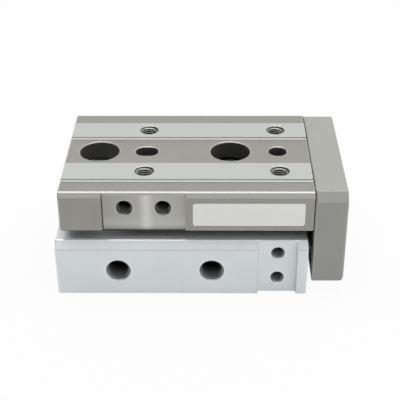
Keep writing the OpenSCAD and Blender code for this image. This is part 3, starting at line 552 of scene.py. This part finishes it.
def body_lines(finish, point):
    """Where the body's edges stay sharp, the thin lines of painted shade there, its upper edges
    painted bright as a highlight, and the part of those that shines."""
    x, y, z = (finish.part(point, axis) for axis in "xyz")
    front = y < 0.0
    level = BODY_TOP - BODY_BEVEL
    lines = finish.near(z, level, MILL_LINE) * (abs(y) > (BODY_SIDE - SKIN) / MM)
    quiet = finish.near(z, level, SHARP_REACH)
    port = MOUNTS["extend_port"]["pos_m"][0]
    start, end = port + POCKET_START, port + POCKET_END
    for place in (start, end):
        lines = lines + finish.near(x, place, MILL_LINE) * front
        quiet = quiet + finish.near(x, place, SHARP_REACH) * front
    pocket = finish.between(x, start, end) * front
    brink = BODY_SIDE - BODY_BEVEL
    high_up = z > (BODY_TOP - EDGE_DOWN) / MM
    rim = finish.between(abs(y), brink - EDGE_IN, brink + EDGE_OUT) * high_up
    glint = finish.between(abs(y), brink, brink + EDGE_OUT) * high_up
    return quiet.clamped(), (lines - pocket).clamped(), rim, glint


def body_gaps(finish, point):
    """Painted shade on the body's top where the table covers it, more of it near its rear end."""
    shut = finish.shut_off()
    near_rear = (1.0 - (finish.part(point, "x") - BODY_REAR / MM) * (MM / REAR_REACH)).clamped()
    rear = finish.hollows(start=0.50, end=0.70, shut=shut) * (near_rear * REAR_GAIN).clamped()
    hollow = (finish.hollows(start=0.77, end=0.95, shut=shut) + rear).clamped()
    return hollow * (finish.part(point, "z") > (BODY_TOP - GAP_DOWN) / MM)


def satin(finish, point, tint, edges, grain):
    """The softly clouded colour of anodised aluminium, paler on its edges as wear and as a painted
    highlight, and its grain.
    """
    cloud = finish.noise(point, scale=0.22, detail=3.0)
    fine = finish.noise(point, grain, roughness=0.6)
    base = finish.mixed(finish.ramp(cloud, (0.35, 0.0), (0.65, 1.0)), tinted(tint, 0.97), tint)
    # Paler edges: wear, and a painted highlight
    return finish.mixed(edges * 0.6, base, tinted(tint, 1.12)), fine


def dark_holes(finish, point, base, holes, settings):
    """The base colour with painted shade on the walls of these holes, darker from their mouths
    down.
    """
    base = finish.mixed(hole_mask(finish, point, holes, DULL_DEPTH), base, settings.bore)
    return finish.mixed(hole_shade(finish, point, holes, DARK_DEPTH), base, settings.shade)


def anodised(finish, base, fine, shine, rounded, metallic, roughness):
    """Ends an anodised finish: satin with a fine pickled grain, smoother where it shines."""
    rough = (roughness + (fine - 0.5) * GRAIN_ROUGHNESS - shine * EDGE_POLISH).most(SMOOTHEST)
    return finish.close(base=base, metallic=metallic.clamped(), roughness=rough,
                        normal=finish.bump(fine, 0.004 * MM, normal=rounded))


def body_finish(settings):
    """Silver anodised aluminium: even satin, painted shade in thin lines, holes and gaps, and a
    painted highlight along its upper edge.
    """
    finish = Finish("body_anodised_finish")
    point = finish.place()
    quiet, lines, rim, glint = body_lines(finish, point)
    rounded, edges = finish.soft_edges(settings.edge, quiet)
    base, fine = satin(finish, point, settings.body, edges, grain=7.0)
    # Painted shade: thin dark lines along the chamfer's lower edge and the pocket's ends
    base = finish.mixed(lines, base, tinted(settings.body, LINE_LIGHT))
    holes = hole_mouths(*BODY_HOLES, "body_through_holes")
    # Painted shade in the body's holes
    base = dark_holes(finish, point, base, holes, settings)
    # Painted shade where the table covers the body's top
    hollow = body_gaps(finish, point) * (1.0 - rim)
    base = finish.mixed(hollow, base, settings.shade)
    # Painted highlight: the body's upper edge painted near white
    base = finish.mixed(rim, base, BODY_EDGE)
    shine = edges * (1.0 - rim) + glint
    return anodised(finish, base, fine, shine, rounded, metallic=shine + hollow + 0.06,
                    roughness=0.45)


def plate_finish(settings):
    """Grey hard anodised aluminium, with painted shade in its holes and on its back where the body
    is near.
    """
    finish = Finish("plate_anodised_finish")
    point = finish.place()
    rounded, edges = finish.soft_edges(settings.edge)
    base, fine = satin(finish, point, settings.plate, edges, grain=8.0)
    # Painted shade in the end plate's holes
    base = dark_holes(finish, point, base, hole_mouths("end_plate_taps"), settings)
    # Painted shade on the plate's back where the body is near, and in its other gaps
    base = finish.mixed(finish.hollows(start=0.74, end=1.0), base, PLATE_SHADE)
    return anodised(finish, base, fine, edges, rounded, metallic=edges + 0.15, roughness=0.50)


def land_marks(finish, side, z):
    """The ground lands, their risers, the risers' walls, and the painted highlight line along their
    feet.
    """
    middle = MOUNTS["table_taps"]["dims"]["spacing_y_mm"] / 2.0
    off_land = abs(abs(side - middle) - LAND_HALF / MM)
    lands = z > (LAND_TOP - TOUCH) / MM
    riser = (off_land < RISER_REACH / MM) * (z > (TABLE_TOP - TOUCH) / MM)
    wall = riser * finish.between(z, TABLE_TOP + FOOT_RISE, LAND_TOP - FOOT_RISE)
    foot = finish.between(z, TABLE_TOP - TOUCH, TABLE_TOP + FOOT_RISE)
    return lands, riser, wall, (off_land < FOOT_REACH / MM) * foot


def flat_marks(finish, point):
    """The milled flat, how bright it is painted as a highlight band with sheen and shade, and the
    painted shade lines at its ends.
    """
    x, y, z = (finish.part(point, axis) for axis in "xyz")
    start, end, face = flat_box()
    flat = finish.near(y, face, TOUCH) * finish.between(x, start, end)
    light = finish.ramp((x - start / MM) * (MM / FLAT_LENGTH), *FLAT_LIGHT)
    height = z - SKIRT_LOW / MM
    low = ((LOW_BAND / MM - height) * LOW_GAIN).clamped()
    sheen = finish.ramp(height * (MM / SHEEN_HEIGHT), *FLAT_SHEEN)
    bright = light * (1.0 - low * LOW_SHARE) + sheen * (1.0 - light) * SHEEN_SHARE
    ends = finish.near(x, start, FLAT_LINES[0]) + finish.near(x, end, FLAT_LINES[1])
    ends = ends * (abs(y) > (TABLE_SIDE - LINE_IN) / MM) * (z < (TABLE_TOP - LINE_DOWN) / MM)
    return flat, bright, ends


def table_finish(settings):
    """Milled, plated steel with ground lands and milling marks, and a side flat; painted highlights
    on its edges, chamfers, risers and flat, and painted shade in its holes, channel and lines.
    """
    finish = Finish("table_steel_finish")
    point = finish.place()
    x, y, z = (finish.part(point, axis) for axis in "xyz")
    side = abs(y)
    low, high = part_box("table")
    lands, riser, wall, foot = land_marks(finish, side, z)
    flat, bright, ends = flat_marks(finish, point)
    outer = side > (TABLE_SIDE - TABLE_BEVEL) / MM
    bevel = outer * finish.between(z, TABLE_TOP - TABLE_BEVEL, TABLE_TOP)
    rim = outer * finish.between(z, TABLE_TOP - TABLE_EDGE_DOWN, TABLE_TOP + TABLE_EDGE_UP)
    low_edge = (z < (SKIRT_LOW + LOW_EDGE_UP) / MM) * (side > (TABLE_SIDE - LOW_EDGE_IN) / MM)
    joint = x > (PLATE_REAR - JOINT) / MM
    channel = finish.in_box(point, (low.x + SKIN, -CHANNEL_HALF, -2 * FAR),
                            (high.x - SKIN, CHANNEL_HALF, TABLE_TOP - SKIN))
    rounded, edges = finish.soft_edges(settings.edge, (riser + ends).clamped())
    fine = finish.noise(point, scale=9.0, roughness=0.6)
    milled = finish.noise(finish.stretched(point, 0.25, 9.0, 9.0), scale=1.0)
    ground = finish.noise(finish.stretched(point, 0.3, 26.0, 1.0), scale=1.0)
    cloud = finish.noise(point, scale=0.16)

    base = finish.mixed(finish.ramp(cloud, (0.3, 0.0), (0.7, 1.0)), tinted(settings.table, 0.93),
                        settings.table)
    # Painted shade in the flat's taps and in the lands' taps
    edge_taps = hole_shade(finish, point, hole_mouths("table_edge_taps"), FLAT_TAP_DARK)
    land_taps = hole_mask(finish, point, hole_mouths("table_taps"), SKIN, 2 * WALL)
    layers = (
        # Painted light: the chamfers painted brighter than the faces
        (bevel, tinted(settings.table, BEVEL_LIGHT)),
        # Painted highlight band, painted sheen and painted shade along the milled flat
        (flat, finish.mixed(bright, BLACK, settings.flat)),
        (lands, settings.land),
        # Worn edges, paler also as a painted highlight
        (edges * MARK_SHARE, WORN_EDGE),
        # Painted light on the risers' walls, and a painted highlight along their feet
        (wall, RISER_WALL),
        (foot, RISER_FOOT),
        # Painted highlight along the table's upper edge
        (rim, UPPER_EDGE),
        # Painted shade: lines at the flat's ends, inside the channel, on the low edge and in the
        # taps
        (ends * END_SHARE, END_LINE),
        (channel, settings.bore),
        (low_edge * MARK_SHARE, settings.shade),
        (edge_taps, settings.shade),
        (land_taps, settings.bore),
        (joint * MARK_SHARE, settings.shade))
    for mask, tint in layers:
        base = finish.mixed(mask, base, tint)

    parts = {"lands": lands, "flat": flat, "grain": fine - 0.5, "edges": edges,
             "channel": channel}
    rough = TABLE_ROUGHNESS["all"]
    for name, part in parts.items():
        rough = part * TABLE_ROUGHNESS[name] + rough
    metal = edges * TABLE_METAL["edges"] + rim * TABLE_METAL["rim"] + TABLE_METAL["all"]
    metal = (metal - riser * (1.0 - lands) - channel).clamped()
    normal = finish.bump(finish.mixed(lands, milled, ground), 0.003 * MM, normal=rounded)
    return finish.close(base=base, metallic=metal, roughness=rough, normal=normal)


def cut_finish(name, tint, shine, holes, reach, height, root):
    """The cut metal of a thread: roots painted a share as bright as the crests, as painted shade;
    crest edges paler as a painted highlight; painted shade further down the hole.
    """
    finish = Finish(name)
    point = finish.place()
    marks = finish.noise(point, scale=12.0)
    rounded, edges = finish.soft_edges(0.03 * MM)
    base = finish.mixed(marks, tinted(tint, 0.8), tint)
    # Painted shade in the roots, a painted highlight on crest edges, painted shade down the hole
    base = finish.mixed(crests(finish, point, holes, height), tinted(tint, root), base)
    base = finish.mixed(edges * 0.5, base, tinted(tint, 1.5))
    base = finish.mixed(hole_shade(finish, point, holes, reach), base, THREAD_END)
    return finish.close(base=base, metallic=shine, roughness=0.36 + (marks - 0.5) * 0.1,
                        normal=finish.bump(marks, 0.002 * MM, 0.4, rounded))


def steel_finish(name, tint, edge, roughness, along):
    """Ground or turned steel with fine marks along one axis."""
    finish = Finish(name)
    point = finish.place()
    marks = finish.noise(finish.stretched(point, *along), scale=1.0, detail=3.0)
    cloud = finish.noise(point, scale=0.8)
    rounded, edges = finish.soft_edges(edge)
    base = finish.mixed(cloud, tinted(tint, 0.9), tint)
    base = finish.mixed(edges * 0.5, base, tinted(tint, 1.25))
    # Painted shade in hollows, where near walls shut off the sky
    base = finish.mixed(finish.hollows(start=0.5, end=0.9), base, tinted(tint, 0.25))
    return finish.close(base=base, metallic=1.0, roughness=roughness + (marks - 0.5) * 0.12,
                        normal=finish.bump(marks, 0.003 * MM, normal=rounded))


def dull_finish(name, tint, edge, roughness, grain, metallic=0.0, worn=None):
    """Black oxide, resin, magnet or rubber: a fine grain and slightly paler edges."""
    finish = Finish(name)
    point = finish.place()
    fine = finish.noise(point, grain, detail=3.0, roughness=0.6)
    rounded, edges = finish.soft_edges(edge)
    base = finish.mixed(fine, tinted(tint, 0.8), tinted(tint, 1.2))
    base = finish.mixed(edges * 0.4, base, worn or tinted(tint, 2.0))
    return finish.close(base=base, metallic=metallic, roughness=roughness + (fine - 0.5) * 0.15,
                        normal=finish.bump(fine, 0.006 * MM, normal=rounded))


def label_finish(settings):
    """A bare pale film with a faint mottle under a clear coat."""
    finish = Finish("label_film_finish")
    point = finish.place()
    mottle = finish.noise(point, scale=0.7, detail=3.0)
    fine = finish.noise(point, scale=14.0)
    base = finish.mixed(mottle, tinted(settings.label, 0.97), settings.label)
    return finish.close(base=base, metallic=0.0, roughness=0.42 + (fine - 0.5) * 0.1,
                        normal=finish.bump(fine, 0.003 * MM, 0.4), coat=0.15)


# ---- Modelling helpers ----

def only(piece):
    bpy.ops.object.select_all(action="DESELECT")
    piece.select_set(True)
    bpy.context.view_layer.objects.active = piece


def thread_piece(name, radius, pitch, height, turns, steps):
    """A helical ridge inside a hole along +Z, whose first turn starts at z = 0."""
    bpy.ops.object.select_all(action="DESELECT")
    bpy.ops.mesh.primitive_plane_add(size=1.0, location=(0.0, 0.0, 0.0),
                                     rotation=(math.radians(90), 0.0, 0.0))
    piece = bpy.context.object
    piece.name = name
    only(piece)
    bpy.ops.object.transform_apply(location=True, rotation=True, scale=True)
    root = pitch * ROOT_SHARE
    crest = pitch * CREST_SHARE
    bpy.ops.object.mode_set(mode="EDIT")
    bpy.ops.mesh.select_all(action="SELECT")
    bpy.ops.transform.resize(value=(height + SINK, 1.0, 2.0 * root), center_override=(0, 0, 0))
    bpy.ops.transform.translate(value=(radius + SINK - (height + SINK) / 2.0, 0.0, root))
    bpy.ops.mesh.select_all(action="DESELECT")
    bpy.ops.object.mode_set(mode="OBJECT")
    for vertex in piece.data.vertices:
        vertex.select = vertex.co.x < radius - height / 2.0
    bpy.ops.object.mode_set(mode="EDIT")
    bpy.ops.transform.resize(value=(1.0, 1.0, crest / root),
                             center_override=(radius - height, 0.0, root))
    bpy.ops.object.mode_set(mode="OBJECT")
    screw = piece.modifiers.new("Helix", "SCREW")
    screw.axis = "Z"
    screw.angle = 2.0 * math.pi * turns
    screw.screw_offset = pitch * turns
    screw.steps = screw.render_steps = max(8, round(steps * turns))
    screw.use_merge_vertices = False
    bpy.ops.object.modifier_apply(modifier=screw.name)
    bpy.ops.object.mode_set(mode="EDIT")
    bpy.ops.mesh.select_all(action="SELECT")
    bpy.ops.mesh.remove_doubles(threshold=SAME_PLACE)
    bpy.ops.mesh.select_all(action="SELECT")
    bpy.ops.mesh.fill_holes(sides=4)
    bpy.ops.mesh.select_all(action="SELECT")
    bpy.ops.mesh.normals_make_consistent(inside=False)
    bpy.ops.object.mode_set(mode="OBJECT")
    bpy.ops.object.shade_smooth_by_angle(angle=math.radians(30))
    return piece


def placed_copy(piece, name, matrix):
    """A copy with its own mesh, moved in the mesh so that its object stays at the origin."""
    twin = piece.copy()
    twin.data = piece.data.copy()
    twin.name = name
    bpy.context.scene.collection.objects.link(twin)
    twin.data.transform(matrix)
    return twin


def removed(piece):
    mesh = piece.data
    bpy.data.objects.remove(piece)
    bpy.data.meshes.remove(mesh)


def pattern_places(mount):
    """Where the holes of a bolt pattern open, worked out from its pitches."""
    axis = Vector(mount["axis"])
    rows = [Vector(v) for v in ((1, 0, 0), (0, 1, 0), (0, 0, 1)) if abs(axis.dot(Vector(v))) < 0.5]
    dims = mount["dims"]
    middle = Vector(mount["pos_m"])
    first = dims["spacing_x_mm"] * MM / 2.0
    second = dims.get("spacing_y_mm", 0.0) * MM / 2.0
    offsets = [(a, b) for a in (-first, first) for b in ((-second, second) if second else (0.0,))]
    return [middle + rows[0] * a + rows[1] * b for a, b in offsets]


def into_hole(mouth, axis):
    """The turn and shift that bring a thread along +Z into a hole whose axis points out of it.
    The thread's end comes on the side that the hole's own edge hides."""
    inward = -Vector(axis)
    first = Vector((0, -1, 0)) if abs(inward.z) > 0.5 else Vector((0, 0, 1))
    turn = Matrix((first, inward.cross(first), inward)).transposed()
    return Matrix.Translation(mouth) @ turn.to_4x4()


def cut_threads(name, pitch, body, finish):
    """Puts one thread into each of a mount's holes."""
    sizes = bpy.context.scene.slide_threads
    holes = hole_mouths(name)
    # The lands' threads start higher than the others, whose mouths have a plain rim
    start = 0.4 * RIM if name == "table_taps" else RIM
    turns = (holes[0].bottom - start - END_FREE) / pitch - 1.0
    ridge = thread_piece(name, holes[0].radius, pitch, sizes.height * pitch, turns, sizes.steps)
    for i, hole in enumerate(holes):
        place = into_hole(hole.mouth - hole.axis * start, hole.axis)
        twin = placed_copy(ridge, f"{name}_thread_{i + 1}", place)
        twin.data.materials.clear()
        twin.data.materials.append(finish)
        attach(twin, body)
    removed(ridge)


def dress(slot, finish):
    """Gives every solid of one material slot its finish."""
    nodes = [part["node"] for part in frame["record"]["subparts"] if part["material_slot"] == slot]
    if not nodes:
        raise RuntimeError(f"no piece has the material slot {slot}")
    for name in nodes:
        solid = NODES[name]
        for place in solid.material_slots:
            place.material = finish
        if not solid.material_slots:
            solid.data.materials.append(finish)


# ---- Operators ----

class SLIDE_OT_body(bpy.types.Operator):
    """Finishes the body, and cuts the threads of its taps and air ports"""
    bl_idname = "slide.body"
    bl_label = "Body"

    def execute(self, context):
        sizes = context.scene.slide_threads
        dress("body_anodised", body_finish(context.scene.slide_finish))
        # The threads' dark grey tint, far darker than the body, is painted shade inside the taps
        thread = cut_finish("body_thread_finish", tint=(0.21, 0.22, 0.225), shine=0.5,
                            holes=hole_mouths(*BODY_HOLES), reach=2.1 * MM, height=0.2 * MM,
                            root=0.7)
        pitches = (sizes.pitch_m4, sizes.pitch_m2, sizes.pitch_m2, sizes.pitch_m4)
        for name, pitch in zip(BODY_HOLES, pitches):
            cut_threads(name, pitch, "base", thread)
        return {"FINISHED"}


class SLIDE_OT_table(bpy.types.Operator):
    """Finishes the table, and cuts the threads of its lands and of its milled flat"""
    bl_idname = "slide.table"
    bl_label = "Table"

    def execute(self, context):
        sizes = context.scene.slide_threads
        dress("table_steel", table_finish(context.scene.slide_finish))
        # Pale crests and near-black roots: painted light and painted shade on the lands' threads
        land = cut_finish("table_thread_finish", tint=(0.62, 0.62, 0.58), shine=0.6,
                          holes=hole_mouths("table_taps"), reach=9.0 * MM, height=0.2 * MM,
                          root=0.12)
        # The flat threads' dark tint, darker than the flat, is painted shade inside its taps
        flat = cut_finish("flat_thread_finish", tint=(0.165, 0.16, 0.148), shine=0.6,
                          holes=hole_mouths("table_edge_taps"), reach=1.6 * MM,
                          height=0.15 * MM, root=0.6)
        cut_threads("table_taps", sizes.pitch_table, "table_unit", land)
        cut_threads("table_edge_taps", sizes.pitch_m2, "table_unit", flat)
        return {"FINISHED"}


class SLIDE_OT_end_plate(bpy.types.Operator):
    """Finishes the end plate, and cuts its threads"""
    bl_idname = "slide.end_plate"
    bl_label = "End plate"

    def execute(self, context):
        dress("plate_anodised", plate_finish(context.scene.slide_finish))
        # The threads' dark grey tint, darker than the plate, is painted shade inside its taps
        thread = cut_finish("plate_thread_finish", tint=(0.21, 0.22, 0.225), shine=0.5,
                            holes=hole_mouths("end_plate_taps"), reach=2.1 * MM,
                            height=0.2 * MM, root=0.7)
        cut_threads("end_plate_taps", context.scene.slide_threads.pitch_m3, "table_unit",
                    thread)
        return {"FINISHED"}


class SLIDE_OT_name_plate(bpy.types.Operator):
    """Finishes the bare name plate"""
    bl_idname = "slide.name_plate"
    bl_label = "Name plate"

    def execute(self, context):
        dress("label_film", label_finish(context.scene.slide_finish))
        return {"FINISHED"}


class SLIDE_OT_guide(bpy.types.Operator):
    """Finishes the guide block, its balls, and the resin covers and caps"""
    bl_idname = "slide.guide"
    bl_label = "Ball guide"

    def execute(self, context):
        s = context.scene.slide_finish
        edge = s.edge / 2
        dress("guide_steel", steel_finish("guide_steel_finish", s.guide, edge, roughness=0.30,
                                          along=(0.4, 16.0, 16.0)))
        dress("ball_steel", steel_finish("ball_steel_finish", s.ball, edge / 2, roughness=0.10,
                                         along=(4.0, 4.0, 4.0)))
        dress("cover_resin", dull_finish("cover_resin_finish", s.resin, edge, roughness=0.48,
                                         grain=8.0))
        return {"FINISHED"}


class SLIDE_OT_cylinders(bpy.types.Operator):
    """Finishes the rods, pistons, rod covers, magnets, seals and bumpers of both cylinders"""
    bl_idname = "slide.cylinders"
    bl_label = "Cylinders"

    def execute(self, context):
        s = context.scene.slide_finish
        edge = s.edge / 2
        dress("rod_chrome", steel_finish("rod_chrome_finish", s.chrome, edge, roughness=0.12,
                                         along=(10.0, 1.0, 1.0)))
        for slot, roughness in (("rod_cover_brass", 0.30), ("piston_brass", 0.26)):
            dress(slot, steel_finish(slot + "_finish", s.brass, edge, roughness, along=TURNED))
        for slot, tint, roughness, grain in (("magnet_black", s.magnet, 0.6, 12.0),
                                             ("seal_rubber", s.rubber, 0.62, 14.0),
                                             ("bumper_rubber", s.rubber, 0.70, 10.0)):
            dress(slot, dull_finish(slot + "_finish", tint, edge, roughness, grain))
        return {"FINISHED"}


class SLIDE_OT_fasteners(bpy.types.Operator):
    """Finishes the black screws and rings, and the small bright steel pieces"""
    bl_idname = "slide.fasteners"
    bl_label = "Screws, rings and small steel pieces"

    def execute(self, context):
        s = context.scene.slide_finish
        edge = s.edge / 2
        dress("dark_screws", dull_finish("dark_screws_finish", s.dark, edge, roughness=0.42,
                                         grain=10.0, metallic=0.6, worn=(0.12, 0.12, 0.12)))
        dress("bright_steel", steel_finish("bright_steel_finish", s.bright, edge,
                                           roughness=0.30, along=TURNED))
        return {"FINISHED"}


WHITE = (1.0, 1.0, 1.0)
# How far towards the object's rear end the sky starts to get darker (0 overhead, 1 level), and
# what brings that to about 1 at the sky's rear edge
DIM_SKY_START = 0.35
DIM_SKY_GAIN = 1.54
# Length and width of the lamp
LAMP_SIZE = (0.40, 0.20)
# Width of the camera's sensor in millimetres, its sideways shift, and the range that it sees
SENSOR = 36.0
FRAME_SHIFT = -0.0007
VIEW_RANGE = (0.01, 20.0)


class SLIDE_OT_studio(bpy.types.Operator):
    """Sets up the floor, the light and the camera"""
    bl_idname = "slide.studio"
    bl_label = "Studio"

    def execute(self, context):
        s = context.scene.slide_studio
        self.floor(s)
        self.sky(s)
        self.lamp(s)
        self.camera(s)
        context.scene.view_settings.view_transform = "Standard"
        return {"FINISHED"}

    def floor(self, s):
        bpy.ops.object.select_all(action="DESELECT")
        bpy.ops.mesh.primitive_plane_add(size=s.floor_size,
                                         location=(0.0, 0.0, corner("body", 0, "z")))
        floor = bpy.context.object
        floor.name = "studio_floor"
        only(floor)
        bpy.ops.object.transform_apply(location=True, rotation=True, scale=True)
        finish = Finish("studio_floor_finish")
        path = finish.node("ShaderNodeLightPath")
        seen = self.background_rays(finish, path)
        matt = finish.node("ShaderNodeBsdfDiffuse", inputs={"Color": s.floor})
        white = finish.node("ShaderNodeEmission", inputs={"Color": WHITE, "Strength": 1.0})
        mixed = finish.node("ShaderNodeMixShader", inputs={0: seen * s.glow, 1: matt, 2: white})
        finish.node("ShaderNodeOutputMaterial", inputs={"Surface": mixed})
        floor.data.materials.append(finish.material)

    def background_rays(self, finish, path):
        """1 for the rays that show the background: camera, glossy and transmission."""
        rays = [Value(finish, path.socket.node.outputs[name])
                for name in ("Is Camera Ray", "Is Glossy Ray", "Is Transmission Ray")]
        return (rays[0] + rays[1] + rays[2]).clamped()

    def sky(self, s):
        finish = Finish("studio_sky", sky=True)
        bpy.context.scene.world = finish.material
        seen = finish.node("ShaderNodeLightPath")
        way = finish.node("ShaderNodeTexCoord", output="Generated")
        ahead = finish.part(way, "y")
        rear = (finish.part(way, "x") + DIM_SKY_START).least(0.0) * DIM_SKY_GAIN
        even = (s.sky + ahead * s.sky_back + rear * s.sky_side).clamped()
        strength = even + seen * (1.0 - even)
        light = finish.node("ShaderNodeBackground", inputs={"Color": WHITE, "Strength": strength})
        finish.node("ShaderNodeOutputWorld", inputs={"Surface": light})

    def lamp(self, s):
        data = bpy.data.lights.new("studio_lamp", "AREA")
        data.shape = "RECTANGLE"
        data.size, data.size_y = LAMP_SIZE
        data.energy = s.lamp_power
        lamp = bpy.data.objects.new("studio_lamp", data)
        place = Vector((0.0, s.lamp_back, s.lamp_height))
        turn = (-place).to_track_quat("-Z", "Y").to_matrix().to_4x4()
        lamp.matrix_world = Matrix.Translation(place) @ turn
        bpy.context.scene.collection.objects.link(lamp)

    def camera(self, s):
        ahead = Vector((math.sin(s.turn) * math.cos(s.down), math.cos(s.turn) * math.cos(s.down),
                        -math.sin(s.down)))
        level = Vector((math.cos(s.turn), -math.sin(s.turn), 0.0))
        up = level.cross(ahead)
        right = level * math.cos(s.roll) + up * math.sin(s.roll)
        top = up * math.cos(s.roll) - level * math.sin(s.roll)
        data = bpy.data.cameras.new("studio_camera")
        data.lens = s.lens
        data.sensor_width = SENSOR
        data.shift_x = FRAME_SHIFT
        data.clip_start, data.clip_end = VIEW_RANGE
        camera = bpy.data.objects.new("studio_camera", data)
        turn = Matrix((right, top, -ahead)).transposed()
        camera.matrix_world = Matrix.Translation(Vector(s.camera)) @ turn.to_4x4()
        bpy.context.scene.collection.objects.link(camera)
        bpy.context.scene.camera = camera


# The operators that make the pieces, in order
PIECES = ("slide.body", "slide.table", "slide.name_plate", "slide.end_plate", "slide.guide",
          "slide.cylinders", "slide.fasteners")


class SLIDE_PT_panel(bpy.types.Panel):
    """Lists the settings and the operators"""
    bl_idname = "SLIDE_PT_panel"
    bl_label = "Slide table"
    bl_space_type = "VIEW_3D"
    bl_region_type = "UI"
    bl_category = "Slide table"

    def draw(self, context):
        for group, operators in (("slide_finish", ()), ("slide_threads", PIECES),
                                 ("slide_studio", ("slide.studio",))):
            settings = getattr(context.scene, group)
            box = self.layout.box()
            for key in settings.__annotations__:
                box.prop(settings, key)
            for operator in operators:
                box.operator(operator)


CLASSES = (ThreadSizes, FinishSettings, StudioSettings, SLIDE_OT_body, SLIDE_OT_table,
           SLIDE_OT_name_plate, SLIDE_OT_end_plate, SLIDE_OT_guide, SLIDE_OT_cylinders,
           SLIDE_OT_fasteners, SLIDE_OT_studio, SLIDE_PT_panel)


def register():
    for cls in CLASSES:
        bpy.utils.register_class(cls)
    bpy.types.Scene.slide_threads = PointerProperty(type=ThreadSizes)
    bpy.types.Scene.slide_finish = PointerProperty(type=FinishSettings)
    bpy.types.Scene.slide_studio = PointerProperty(type=StudioSettings)


def unregister():
    del bpy.types.Scene.slide_studio
    del bpy.types.Scene.slide_finish
    del bpy.types.Scene.slide_threads
    for cls in reversed(CLASSES):
        bpy.utils.unregister_class(cls)


def main():
    register()
    bpy.ops.slide.body()
    bpy.ops.slide.table()
    bpy.ops.slide.name_plate()
    bpy.ops.slide.end_plate()
    bpy.ops.slide.guide()
    bpy.ops.slide.cylinders()
    bpy.ops.slide.fasteners()
    bpy.ops.slide.studio()


if __name__ == "__main__":
    main()
